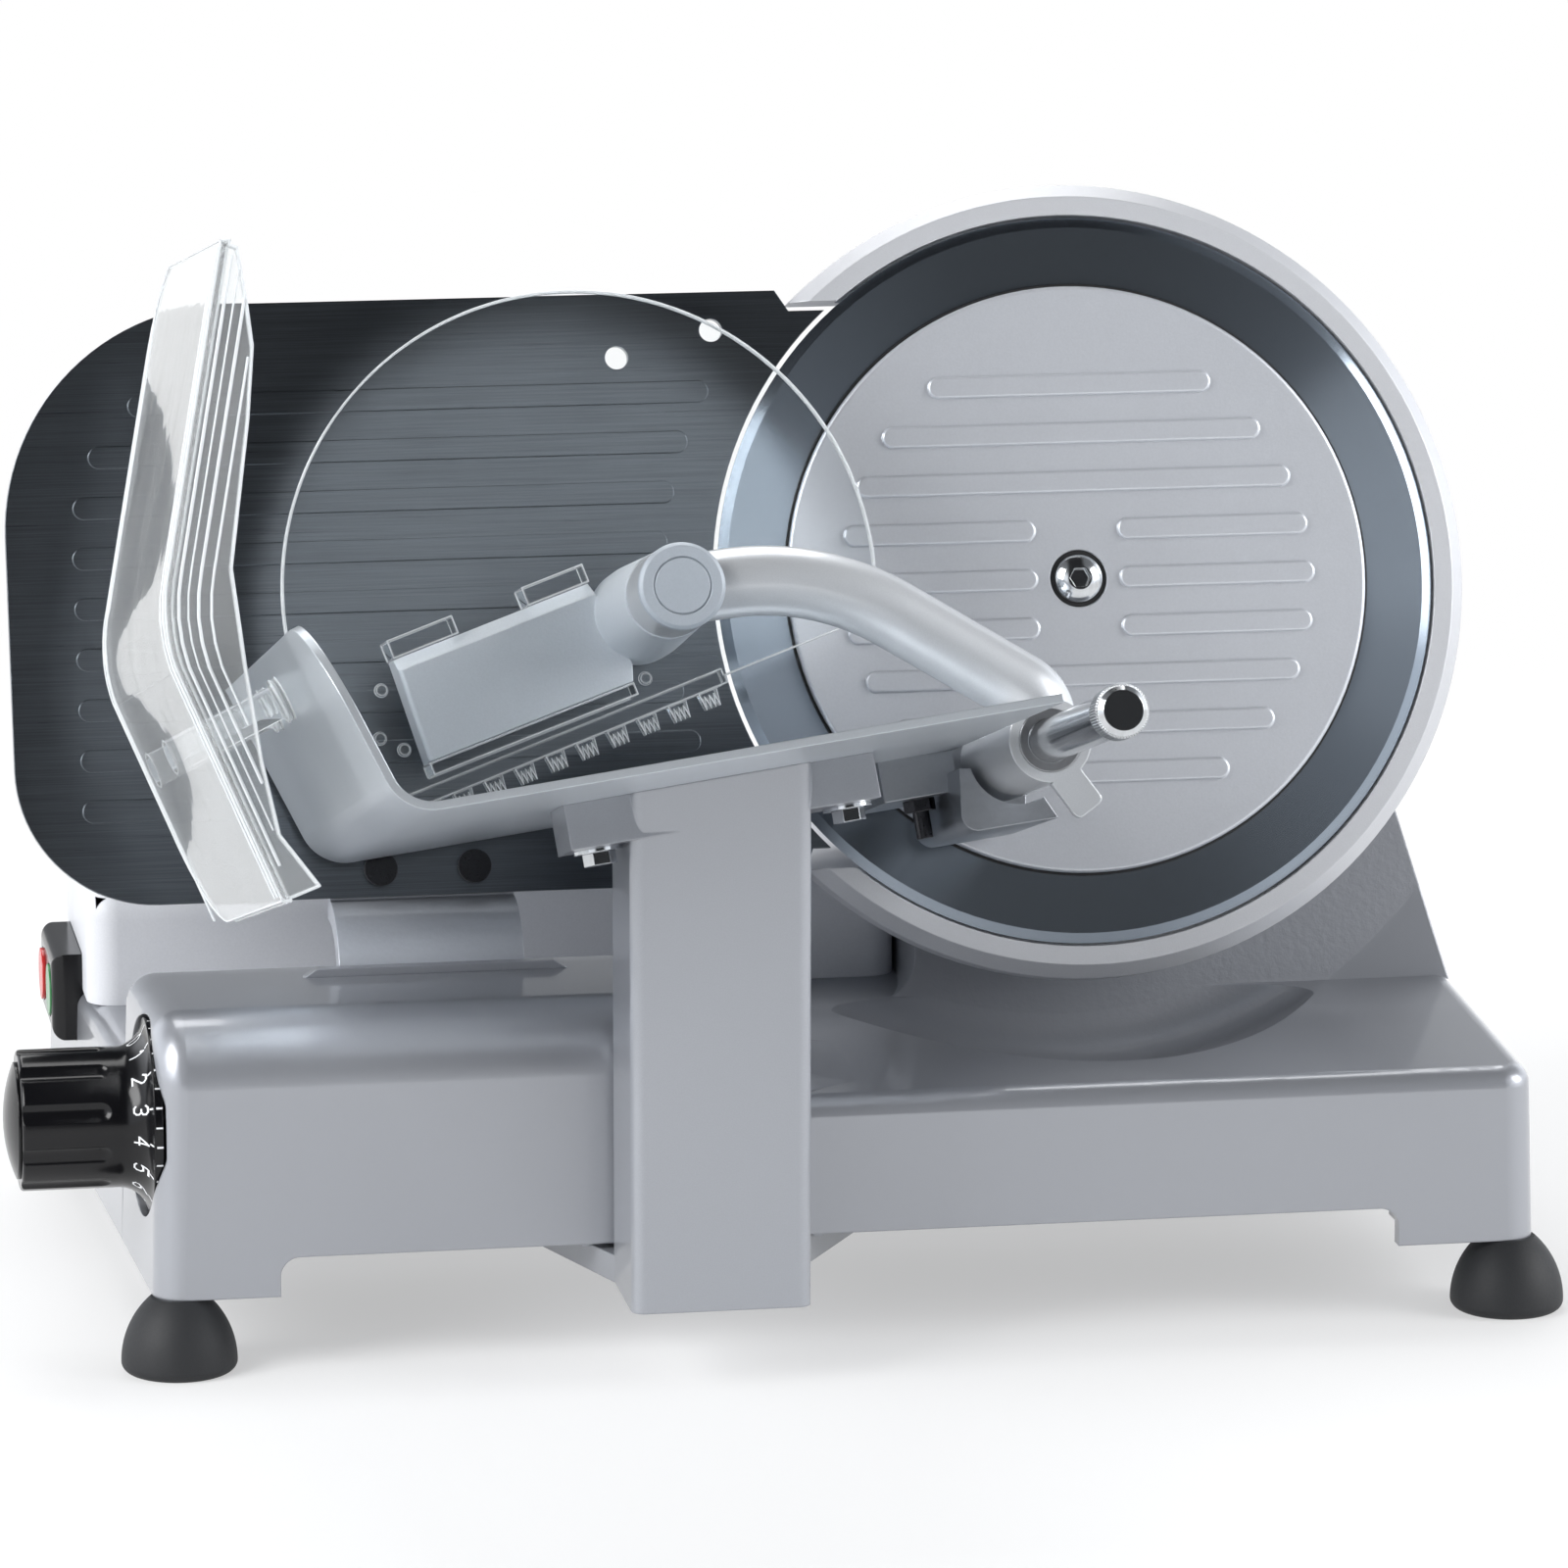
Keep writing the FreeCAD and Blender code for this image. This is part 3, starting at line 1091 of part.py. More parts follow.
housing = new_piece("switch_housing")
drawn = new_sketch(housing, "YZ", switch_left)
rectangle(drawn, switch_front, switch_low, switch_front + switch_length, switch_high)
step = pad(housing, drawn, switch_right - switch_left)
soften(housing, step, edges_where(
    step, lambda middle, way, edge: near(middle.x, switch_left)), switch_round)
button_z = (switch_low + switch_high) / 2
button_front = switch_front + switch_length / 4 + button_gap
button_back = switch_front + 3 * switch_length / 4 - button_gap
drawn = new_sketch(housing, "YZ", switch_left)
circle(drawn, button_front, button_z, button_radius + button_gap)
circle(drawn, button_back, button_z, button_radius + button_gap)
pocket(housing, drawn, button_depth, backwards=True)
for label, y, rise in (("start_button", button_front, start_rise),
                       ("stop_button", button_back, stop_rise)):
    button = new_piece(label)
    drawn = new_sketch(button, "YZ", switch_left - rise)
    circle(drawn, y, button_z, button_radius)
    step = pad(button, drawn, rise + button_depth - button_travel - button_gap)
    left = float(switch_left - rise)
    soften(button, step, edges_where(
        step, lambda middle, way, edge: near(edge.BoundBox.XMax, left)), rise / 4)

gland = new_piece("cord_gland")
drawn = new_sketch(gland, "XZ", -base_front)
circle(drawn, gland_x, gland_z, gland_flange)
circle(drawn, gland_x, gland_z, cord_radius)
pad(gland, drawn, gland_flange_depth, backwards=True)
drawn = new_sketch(gland, "XZ", -base_front)
circle(drawn, gland_x, gland_z, gland_radius)
circle(drawn, gland_x, gland_z, cord_radius)
pad(gland, drawn, 2 * base_wall)

board = new_piece("control_board")
drawn = new_sketch(board, "XY", deck_top)
board_left = cover_left + (cover_right - cover_left) / 3
rectangle(drawn, board_left, cover_front + 4 * cover_wall, board_left + switch_length * 2,
          cover_back - 4 * cover_wall)
pad(board, drawn, board_thickness)
drawn = new_sketch(board, "YZ", board_left + capacitor_radius)
circle(drawn, (cover_front + cover_back) / 2, deck_top + board_thickness + capacitor_radius - fit,
       capacitor_radius)
pad(board, drawn, switch_length)

# Tower cover, motor and belt

back_face = tower_setback + tower_depth
closing = new_piece("tower_back_cover")
drawn = new_sketch(closing, "XY", -back_face)
tower_plan(drawn, 0, cover_bottom, 0)
pad(closing, drawn, cover_plate, backwards=True)
drawn = new_sketch(closing, "XY", -back_face - cover_plate)
circle(drawn, 0, 0, axle_boss)
pad(closing, drawn, axle_boss_depth, backwards=True)
drawn = new_sketch(closing, "XY", -back_face)
circle(drawn, 0, 0, axle_radius + fit)
pocket(closing, drawn, cover_plate + axle_boss_depth)
drawn = new_sketch(closing, "XY", -back_face)
circle(drawn, 0, -motor_drop, 2 * motor_shaft_radius)
for number in range(3):
    angle = 90 + 120 * number
    circle(drawn, motor_screw_reach * cosine(angle), motor_screw_reach * sine(angle) - motor_drop,
           bolt_radius + fit)
pocket(closing, drawn, cover_plate)
into_blade_frame(closing)

motor = new_piece("motor_body")
drawn = new_sketch(motor, "XY", -back_face - cover_plate)
circle(drawn, 0, -motor_drop, motor_radius)
step = pad(motor, drawn, motor_length, backwards=True)
soften(motor, step, edges_where(
    step, lambda middle, way, edge: near(middle.z, -back_face - cover_plate - motor_length)
    and len(edge.Vertexes) == 1), base_wall)
drawn = new_sketch(motor, "XY", -back_face - cover_plate)
circle(drawn, 0, -motor_drop, motor_shaft_radius + fit)
pocket(motor, drawn, motor_length / 2)
drawn = new_sketch(motor, "XY", -back_face - cover_plate)
for number in range(3):
    angle = 90 + 120 * number
    circle(drawn, motor_screw_reach * cosine(angle), motor_screw_reach * sine(angle) - motor_drop,
           bolt_radius + fit)
pocket(motor, drawn, base_wall)
into_blade_frame(motor)
tower_screws = new_piece("tower_screws")
for radius, front, length in ((2 * bolt_radius, bolt_radius - back_face, bolt_radius),
                              (bolt_radius, bolt_radius - back_face,
                               bolt_radius + cover_plate + base_wall - 4 * fit)):
    drawn = new_sketch(tower_screws, "XY", front)
    for number in range(3):
        angle = 90 + 120 * number
        circle(drawn, motor_screw_reach * cosine(angle),
               motor_screw_reach * sine(angle) - motor_drop, radius)
    pad(tower_screws, drawn, length, backwards=True)

pulley_front = boss_front + boss_depth + 2 * end_gap
pulley_middle = pulley_front + pulley_width / 2
shaft = new_piece("motor_shaft")
drawn = new_sketch(shaft, "XY", -pulley_front)
circle(drawn, 0, -motor_drop, motor_shaft_radius)
pad(shaft, drawn, back_face + cover_plate + motor_length / 2 - pulley_front - end_gap,
    backwards=True)
into_blade_frame(shaft)
pinion = new_piece("motor_pulley")
drawn = new_sketch(pinion, "XZ")
small = motor_pulley_radius + pulley_flange
outline(drawn, [
    (motor_shaft_radius + fit, -pulley_front - pulley_width),
    (small, -pulley_front - pulley_width), (small, -pulley_front - pulley_width + pulley_flange),
    (motor_pulley_radius, -pulley_front - pulley_width + pulley_flange),
    (motor_pulley_radius, -pulley_front - pulley_flange), (small, -pulley_front - pulley_flange),
    (small, -pulley_front), (motor_shaft_radius + fit, -pulley_front)])
revolve(pinion, drawn)
into_blade_frame(pinion, 0, -motor_drop)

belt = new_piece("drive_belt")
drawn = new_sketch(belt, "XY", belt_width / 2 - pulley_middle)
lean_sine = (pulley_radius - motor_pulley_radius) / motor_drop
lean_cosine = root(1 - lean_sine * lean_sine)
for grow in (belt_gap, belt_gap + belt_thickness):
    large = pulley_radius + grow
    small = motor_pulley_radius + grow
    outline(drawn, [
        (large * lean_cosine, -large * lean_sine, -large), (0, large, -large),
        (-large * lean_cosine, -large * lean_sine),
        (-small * lean_cosine, -small * lean_sine - motor_drop, -small),
        (small * lean_cosine, -small * lean_sine - motor_drop)])
pad(belt, drawn, belt_width, backwards=True)
into_blade_frame(belt)

cover = new_piece("motor_cover")
motor_cover_top = cover_top + 2 * cover_round
motor_cover_right = blade_x + motor_half + cover_round
lean_line = blade_y + (back_face + cover_plate + end_gap) / cosine(tilt)
drawn = new_sketch(cover, "YZ", cover_right + end_gap)
outline(drawn, [
    (lean_line - deck_drop * tangent(tilt), deck_top), (cover_back, deck_top),
    (cover_back, motor_cover_top),
    (lean_line - (blade_z - motor_cover_top) * tangent(tilt), motor_cover_top)])
step = pad(cover, drawn, motor_cover_right - cover_right - end_gap)
soften(cover, step, edges_where(
    step, lambda middle, way, edge: middle.y > 90 and (
        near(middle.z, motor_cover_top) or (abs(way.z) > 0.9 and middle.x > 60))), cover_round)
drawn = new_sketch(cover, "YZ", cover_right + end_gap + cover_wall)
outline(drawn, [
    (cover_front, deck_top - base_wall), (cover_back - cover_wall, deck_top - base_wall),
    (cover_back - cover_wall, motor_cover_top - cover_wall),
    (cover_front, motor_cover_top - cover_wall)])
pocket(cover, drawn, motor_cover_right - cover_right - end_gap - 2 * cover_wall, backwards=True)

# Blade, its hub and bearings

bearings = new_piece("blade_bearings")
groove = bearing_width / 12
middle = (bearing_outer + bearing_inner) / 2
for front in (-boss_front, bearing_width - boss_front - boss_depth):
    back = front - bearing_width
    drawn = new_sketch(bearings, "XZ")
    outline(drawn, [
        (bearing_inner, back), (middle - groove, back), (middle - groove, back + groove),
        (middle + groove, back + groove), (middle + groove, back), (bearing_outer - fit, back),
        (bearing_outer - fit, front), (middle + groove, front), (middle + groove, front - groove),
        (middle - groove, front - groove), (middle - groove, front), (bearing_inner, front)])
    revolve(bearings, drawn)
into_blade_frame(bearings)

blade = new_piece("blade")
drawn = new_sketch(blade, "XZ")
outline(drawn, [
    (blade_bore, -blade_thickness), (blade_radius - 2 * bevel_width, -blade_thickness),
    (blade_radius, -edge_setback), (blade_radius - bevel_width, 0), (blade_bore, 0)])
revolve(blade, drawn)
drawn = new_sketch(blade, "XY")
ring_of_holes(drawn, 4, blade_screw_reach, 2 * bolt_radius + fit)
pocket(blade, drawn, blade_thickness / 2)
drawn = new_sketch(blade, "XY")
ring_of_holes(drawn, 4, blade_screw_reach, bolt_radius + fit)
pocket(blade, drawn, blade_thickness)
into_blade_frame(blade)
screws = new_piece("blade_screws")
drawn = new_sketch(screws, "XY", -end_gap / 2)
ring_of_holes(drawn, 4, blade_screw_reach, 2 * bolt_radius)
pad(screws, drawn, (blade_thickness - end_gap) / 2, backwards=True)
drawn = new_sketch(screws, "XY", -blade_thickness / 2)
ring_of_holes(drawn, 4, blade_screw_reach, bolt_radius)
pad(screws, drawn, blade_thickness / 2 + hub_flange_depth - end_gap, backwards=True)
into_blade_frame(screws)

hub = new_piece("blade_hub")
drawn = new_sketch(hub, "XZ")
flange_back = blade_thickness + hub_flange_depth
hub_bore = axle_radius + hub_clear
outline(drawn, [
    (hub_bore, -pulley_front - pulley_width - end_gap),
    (bearing_inner - fit, -pulley_front - pulley_width - end_gap),
    (bearing_inner - fit, end_gap - boss_front), (hub_shoulder, end_gap - boss_front),
    (hub_shoulder, -flange_back), (hub_flange, -flange_back), (hub_flange, -blade_thickness),
    (blade_bore - fit, -blade_thickness), (blade_bore - fit, -edge_setback),
    (hub_bore, -edge_setback)])
revolve(hub, drawn)
drawn = new_sketch(hub, "XY", -blade_thickness)
ring_of_holes(drawn, 4, blade_screw_reach, bolt_radius + fit)
pocket(hub, drawn, hub_flange_depth)
into_blade_frame(hub)
pulley = new_piece("blade_pulley")
drawn = new_sketch(pulley, "XZ")
crown = pulley_radius + pulley_flange
side = (pulley_width - pulley_web) / 2
outline(drawn, [
    (bearing_inner - fit, -pulley_width), (hub_shoulder + pulley_rim, -pulley_width),
    (hub_shoulder + pulley_rim, side - pulley_width),
    (pulley_radius - pulley_rim, side - pulley_width), (pulley_radius - pulley_rim, -pulley_width),
    (crown, -pulley_width), (crown, pulley_flange - pulley_width),
    (pulley_radius, pulley_flange - pulley_width), (pulley_radius, -pulley_flange),
    (crown, -pulley_flange), (crown, 0), (pulley_radius - pulley_rim, 0),
    (pulley_radius - pulley_rim, -side), (hub_shoulder + pulley_rim, -side),
    (hub_shoulder + pulley_rim, 0), (bearing_inner - fit, 0)])
revolve(pulley, drawn)
into_blade_frame(pulley, 0, 0, -pulley_front)

axle = new_piece("blade_axle")
drawn = new_sketch(axle, "XZ")
nut_front = back_face + cover_plate + axle_boss_depth
outline(drawn, [
    (0, -nut_front - nut_height - nut_height / 2),
    (axle_radius - 1, -nut_front - nut_height - nut_height / 2), (axle_radius - 1, -nut_front),
    (axle_radius, -nut_front), (axle_radius, end_gap - edge_setback),
    (axle_collar, end_gap - edge_setback), (axle_collar, disc_gap), (0, disc_gap)])
revolve(axle, drawn)
drawn = new_sketch(axle, "XY", disc_gap)
circle(drawn, 0, 0, disc_screw_shank + fit)
pocket(axle, drawn, 4 * disc_screw_shank)
into_blade_frame(axle)


def hexagon(drawn, x, y, flats):
    reach = flats / (2 * cosine(30))
    outline(drawn, [(x + reach * cosine(60 * corner), y + reach * sine(60 * corner))
                    for corner in range(6)])


nut = new_piece("axle_nut")
drawn = new_sketch(nut, "XY")
hexagon(drawn, 0, 0, nut_flats)
circle(drawn, 0, 0, axle_radius - 1 + fit)
pad(nut, drawn, nut_height, backwards=True)
into_blade_frame(nut, 0, 0, -nut_front)

# Guard ring

ring = new_piece("guard_ring")
drawn = new_sketch(ring, "XZ")
outline(drawn, [
    (ring_flange, -ring_depth), (ring_outer, -ring_depth), (ring_outer, -ring_chamfer),
    (ring_outer - ring_chamfer, 0), (ring_inner, 0),
    (ring_inner, -blade_thickness - ring_gap), (ring_flange, -blade_thickness - ring_gap)])
revolve(ring, drawn)
drawn = new_sketch(ring, "XY", -ring_depth)
rectangle(drawn, -ring_outer - 1, -ring_open_bottom, -ring_flange / 2, ring_open_top)
pocket(ring, drawn, ring_depth, backwards=True)
drawn = new_sketch(ring, "XZ")
outline(drawn, [
    (arm_screw_reach - 7, -tower_setback), (arm_screw_reach + 7, -tower_setback),
    (ring_outer - 1, -ring_depth), (ring_flange + 1, -ring_depth)])
step = pad(ring, drawn, 12, both_ways=True)
around(ring, step, arm_count)
drawn = new_sketch(ring, "XY", -tower_setback)
ring_of_holes(drawn, 3, arm_screw_reach, bolt_radius + fit)
pocket(ring, drawn, 14, backwards=True)
into_blade_frame(ring)
for radius, front, length in ((2 * bolt_radius, -tower_setback - tower_wall, bolt_radius),
                              (bolt_radius, 12 - tower_setback, 12 + tower_wall + bolt_radius)):
    drawn = new_sketch(tower_screws, "XY", front)
    ring_of_holes(drawn, 3, arm_screw_reach, radius)
    pad(tower_screws, drawn, length, backwards=True)
into_blade_frame(tower_screws)

# Ribbed cover disc

disc = new_piece("cover_disc")
drawn = new_sketch(disc, "XZ")
disc_front = disc_gap + disc_thickness
edge_round = disc_thickness * 0.6
outline(drawn, [
    (disc_screw_shank + fit, disc_gap), (disc_radius, disc_gap),
    (disc_radius, disc_front - edge_round, -edge_round), (disc_radius - edge_round, disc_front),
    (disc_seat_radius, disc_front), (disc_seat_radius, disc_front - disc_seat_depth),
    (disc_screw_shank + fit, disc_front - disc_seat_depth)])
revolve(disc, drawn)


def ribs(drawn, rows, pitch, width, ends, offset=0):
    """Draw rows of long ribs; ends gives the left and right end of each."""
    half = width / 2
    for row in rows:
        for left, right in ends(row):
            level = pitch * row + offset
            outline(drawn, [
                (left + half, level - half), (right - half, level - half, -half * 1.02),
                (right - half, level + half), (left + half, level + half, -half * 1.02)])


def disc_rib_ends(row):
    level = rib_pitch * row
    reach = root(rib_reach * rib_reach - level * level)
    if abs(row) > 1:
        return [(-reach, reach)]
    return [(-reach, -rib_clear), (rib_clear, reach)]


drawn = new_sketch(disc, "XY", disc_front)
ribs(drawn, range(-4, 5), rib_pitch, rib_width, disc_rib_ends)
step = pad(disc, drawn, rib_rise)
rib_top = float(disc_front + rib_rise)
soften(disc, step, edges_where(
    step, lambda middle, way, edge: near(middle.z, rib_top)), rib_round)
into_blade_frame(disc)
screw = new_piece("cover_screw")
drawn = new_sketch(screw, "XZ")
head_top = disc_screw_height
outline(drawn, [
    (0, -disc_thickness - 3 * disc_screw_shank), (disc_screw_shank, -disc_thickness
     - 3 * disc_screw_shank), (disc_screw_shank, 0), (disc_screw_radius, 0),
    (disc_screw_radius, head_top / 3, -disc_screw_radius), (disc_screw_radius / 2, head_top),
    (0, head_top)])
revolve(screw, drawn)
drawn = new_sketch(screw, "XY", disc_screw_height)
hexagon(drawn, 0, 0, disc_screw_hex)
pocket(screw, drawn, disc_screw_height * 0.7)
into_blade_frame(screw, 0, 0, disc_front - disc_seat_depth)

# Gauge plate, its carrier and guide

plate = new_piece("gauge_plate")
drawn = new_sketch(plate, "XY", -gauge_thickness)
notch_top_x = root(gauge_arc * gauge_arc - gauge_notch_top * gauge_notch_top)
notch_bottom_x = root(gauge_arc * gauge_arc - gauge_notch_bottom * gauge_notch_bottom)
outline(drawn, [
    (-gauge_right, gauge_top), (gauge_corner_top - gauge_left, gauge_top, -gauge_corner_top),
    (-gauge_left, gauge_top - gauge_corner_top),
    (-gauge_left, gauge_corner_bottom - gauge_bottom, -gauge_corner_bottom),
    (gauge_corner_bottom - gauge_left, -gauge_bottom), (-gauge_right, -gauge_bottom),
    (-gauge_notch_x, -gauge_notch_bottom), (-notch_bottom_x, -gauge_notch_bottom, gauge_arc),
    (-notch_top_x, gauge_notch_top), (-gauge_notch_x, gauge_notch_top)])
for x, y in ((-hang_x_right, hang_y_right), (-hang_x_left, hang_y_left)):
    circle(drawn, x, y, hang_hole)
for x in (screw_left, screw_right):
    circle(drawn, -x, -screw_drop, bolt_radius + fit)
pad(plate, drawn, gauge_thickness)


def gauge_rib_ends(row):
    level = gauge_rib_pitch * row + gauge_rib_offset
    right = -root(gauge_rib_reach * gauge_rib_reach - level * level)
    bend = gauge_top - gauge_corner_top
    if float(level) < float(bend):
        return [(-gauge_rib_left, right)]
    inner = gauge_corner_top - gauge_left + gauge_rib_left
    left = -root(inner * inner - (level - bend) * (level - bend))
    return [(gauge_corner_top - gauge_left + left, right)]


drawn = new_sketch(plate, "XY")
ribs(drawn, range(-4, 5), gauge_rib_pitch, rib_width, gauge_rib_ends, gauge_rib_offset)
pad(plate, drawn, gauge_rib_rise)
into_blade_frame(plate)
screws = new_piece("carrier_screws")
for radius, length, backwards in ((2 * bolt_radius, gauge_screw_rise, False),
                                  (bolt_radius, gauge_thickness + carrier_thickness, True)):
    drawn = new_sketch(screws, "XY")
    for x in (screw_left, screw_right):
        circle(drawn, -x, -screw_drop, radius)
    pad(screws, drawn, length, backwards=backwards)
into_blade_frame(screws)

carrier = new_piece("gauge_carrier")
drawn = new_sketch(carrier, "YZ", carrier_left)
inner_bend = carrier_bend - carrier_thickness
outline(drawn, [
    (carrier_bend_y, carrier_bend_z + carrier_bend, -carrier_bend),
    (carrier_bend_y - carrier_bend, carrier_bend_z),
    (carrier_bend_y - carrier_bend, bridge_top), (bridge_front, bridge_top),
    (bridge_front, bridge_bottom), (carrier_bend_y - inner_bend, bridge_bottom),
    (carrier_bend_y - inner_bend, carrier_bend_z, inner_bend),
    (carrier_bend_y, carrier_bend_z + inner_bend),
    (carrier_bend_y + carrier_thickness, carrier_bend_z + inner_bend),
    (carrier_bend_y + carrier_thickness, carrier_bend_z + carrier_bend)])
pad(carrier, drawn, carrier_width)
carrier_x = carrier_left - blade_x
drawn = blade_sketch(carrier, -gauge_thickness)
rectangle(drawn, carrier_x, -gauge_bottom - pin_bar_radius, carrier_x + carrier_width,
          carrier_flange - gauge_bottom)
pad(carrier, drawn, carrier_thickness, backwards=True)
drawn = blade_sketch(carrier, block_back)
rectangle(drawn, -bar_x - block_half, -block_low, block_half - bar_x, -block_top)
pad(carrier, drawn, block_length)
drawn = blade_sketch(carrier, block_back)
circle(drawn, -bar_x, -bar_drop, bar_radius + bush_wall)
pocket(carrier, drawn, block_length, backwards=True)
drawn = blade_sketch(carrier, -gauge_thickness)
for x in (screw_left, screw_right):
    circle(drawn, -x, -screw_drop, bolt_radius + fit)
pocket(carrier, drawn, carrier_thickness)

bush = new_piece("carrier_bush")
drawn = new_sketch(bush, "XY", block_back)
circle(drawn, -bar_x, -bar_drop, bar_radius + bush_wall)
circle(drawn, -bar_x, -bar_drop, bar_radius + fit)
pad(bush, drawn, block_length)
into_blade_frame(bush)
bar = new_piece("guide_bar")
drawn = new_sketch(bar, "XY", -bar_back)
circle(drawn, -bar_x, -bar_drop, bar_radius)
pad(bar, drawn, bar_front + bar_back)
into_blade_frame(bar)

pin_reach = cam_start + pin_radius + pin_gap
pin_y = knob_y + pin_reach * cosine(tilt)
pin_z = knob_z - pin_reach * sine(tilt)
pin = new_piece("follower_pin")
block_side = blade_x - bar_x - block_half
cam_right = cam_left + cam_width
for radius, left, right in ((pin_bar_radius, cam_right + 2, block_side),
                            (pin_radius, cam_left + end_gap, cam_right + 2)):
    drawn = new_sketch(pin, "YZ", left)
    circle(drawn, pin_y, pin_z, radius)
    pad(pin, drawn, right - left)

# Thickness knob and its spiral cam

cam = new_piece("spiral_cam")
drawn = new_sketch(cam, "YZ", cam_left)
spiral = []
steps = 10
for number in range(steps + 1):
    reach = cam_start + slide_travel * number / steps
    angle = 30 * number - tilt
    spiral.append((reach * cosine(angle), reach * sine(angle),
                   -(reach + slide_travel / (2 * steps))))
spiral[steps] = spiral[steps][:2]
outline(drawn, spiral)
circle(drawn, 0, 0, shaft_radius)
pad(cam, drawn, cam_width)
move(cam, 0, knob_y, knob_z)

dial_end = dial_recess - dial_gap - base_half
bore_end = knob_left + base_wall
knob = new_piece("thickness_knob")
drawn = new_sketch(knob, "XY")
lip = flute_depth
outline(drawn, [
    (knob_left, 0), (bore_end, 0), (bore_end, shaft_radius), (dial_end, shaft_radius),
    (dial_end, dial_radius), (dial_end - dial_edge, dial_radius, flare_bend),
    (knob_left + grip_length, grip_radius), (knob_left + lip, grip_radius, -lip),
    (knob_left, grip_radius - lip)])
revolve(knob, drawn, "H_Axis")
drawn = new_sketch(knob, "XY", grip_radius + flute_radius - flute_depth)
flute_end = knob_left + grip_length - flute_radius
outline(drawn, [
    (knob_left - 1, 0), (flute_end + flute_radius, 0, -flute_radius), (flute_end, flute_radius),
    (knob_left - 1, flute_radius)])
step = revolve(knob, drawn, "H_Axis", cuts=True)
around(knob, step, flute_count, "X_Axis")
move(knob, 0, knob_y, knob_z)
cap = new_piece("knob_cap")
drawn = new_sketch(cap, "XY")
cap_edge = knob_cap_rise / 5
dome = knob_cap_rise - cap_edge
outline(drawn, [
    (knob_left, 0), (knob_left, knob_cap_radius), (knob_left - cap_edge, knob_cap_radius,
     -(knob_cap_radius * knob_cap_radius + dome * dome) / (2 * dome)),
    (knob_left - knob_cap_rise, 0)])
revolve(cap, drawn, "H_Axis")
move(cap, 0, knob_y, knob_z)
shaft = new_piece("knob_shaft")
drawn = new_sketch(shaft, "YZ", bore_end)
circle(drawn, knob_y, knob_z, shaft_radius)
pad(shaft, drawn, cam_right - bore_end)
bush = new_piece("knob_bush")
bush_left = dial_recess + fit - base_half
drawn = new_sketch(bush, "YZ", bush_left)
circle(drawn, knob_y, knob_z, knob_bore)
circle(drawn, knob_y, knob_z, shaft_radius + fit)
pad(bush, drawn, base_wall + knob_wall - dial_recess + 1)

rim = new_piece("slot_rim")
drawn = new_sketch(rim, "XZ", -slot_front)
outline(drawn, [
    (slot_left - rim_over, nose_top), (slot_right + rim_over, nose_top),
    (slot_right + rim_over / 2, nose_top + rim_height),
    (slot_left - rim_over / 2, nose_top + rim_height)])
pad(rim, drawn, rim_width)

# Carriage under and before the base

def tray_point(along, across):
    """A point at the tray floor: along it from the corner and across its middle line."""
    return (along * cosine(floor_rise) - across * sine(floor_rise) - tray_corner_x,
            along * sine(floor_rise) + across * cosine(floor_rise) - tray_corner_drop)


def wall_point(along, across):
    """The same at the tray wall; across counts towards the food."""
    return (along * cosine(wall_lean) + across * sine(wall_lean) - tray_corner_x,
            along * sine(wall_lean) - across * cosine(wall_lean) - tray_corner_drop)


def floor_reach(x):
    """Distance along the floor of a point left of the blade axis."""
    return (tray_corner_x - x) / cosine(floor_rise)


half_sheet = tray_sheet / 2
post = new_piece("carriage_post")
drawn = new_sketch(post, "XY", arm_low)
rectangle(drawn, post_left, post_front, post_left + post_width, post_front + post_depth)
step = pad(post, drawn, blade_z - arm_low)
soften(post, step, edges_where(step, is_upright), post_round)
drawn = blade_sketch(post, 2 * wing_back)
outline(drawn, [
    tray_point(-post_width, -half_sheet), tray_point(floor_length + post_width, -half_sheet),
    tray_point(floor_length + post_width, blade_z), tray_point(-post_width, blade_z)])
pocket(post, drawn, 4 * wing_back)
drawn = blade_sketch(post, wing_back)
wing_low = -half_sheet - wing_height
outline(drawn, [
    tray_point(floor_reach(wing_left), wing_low), tray_point(floor_reach(wing_right), wing_low),
    tray_point(floor_reach(wing_right), -half_sheet),
    tray_point(floor_reach(wing_left), -half_sheet)])
pad(post, drawn, wing_depth)
drawn = new_sketch(post, "XZ", -post_front - post_depth)
rectangle(drawn, post_left + post_wall, post_hollow_low, post_left + post_width - post_wall,
          post_hollow_high)
pocket(post, drawn, post_depth - post_wall, backwards=True)
drawn = new_sketch(post, "XY", arm_low)
arm_right = arm_left + arm_width
arm_back = rail_y + rail_half
outline(drawn, [
    (post_left, post_front + post_round), (post_left + post_width, post_front + post_round),
    (post_left + post_width, arm_bend_front), (arm_right, arm_bend_back), (arm_right, arm_back),
    (arm_left, arm_back), (arm_left, arm_bend_back), (post_left, arm_bend_front)])
pad(post, drawn, arm_thickness)
lug_foot = arm_low + arm_thickness - 1
drawn = new_sketch(post, "YZ", lug_left)
outline(drawn, [
    (rod_y - lug_radius, rod_z, lug_radius), (rod_y, rod_z + lug_radius, lug_radius),
    (rod_y + lug_radius, rod_z),
    (rod_y + lug_radius, lug_foot), (rod_y - lug_radius, lug_foot)])
pad(post, drawn, lug_width)
drawn = new_sketch(post, "YZ", lug_left)
circle(drawn, rod_y, rod_z, rod_radius + bush_wall + fit)
pocket(post, drawn, lug_width, backwards=True)
bushes = new_piece("carriage_bushes")
for left in (lug_left, lug_left + lug_width - bush_length):
    drawn = new_sketch(bushes, "YZ", left)
    circle(drawn, rod_y, rod_z, rod_radius + bush_wall + fit)
    circle(drawn, rod_y, rod_z, rod_radius + fit)
    pad(bushes, drawn, bush_length)
rod = new_piece("slide_rod")
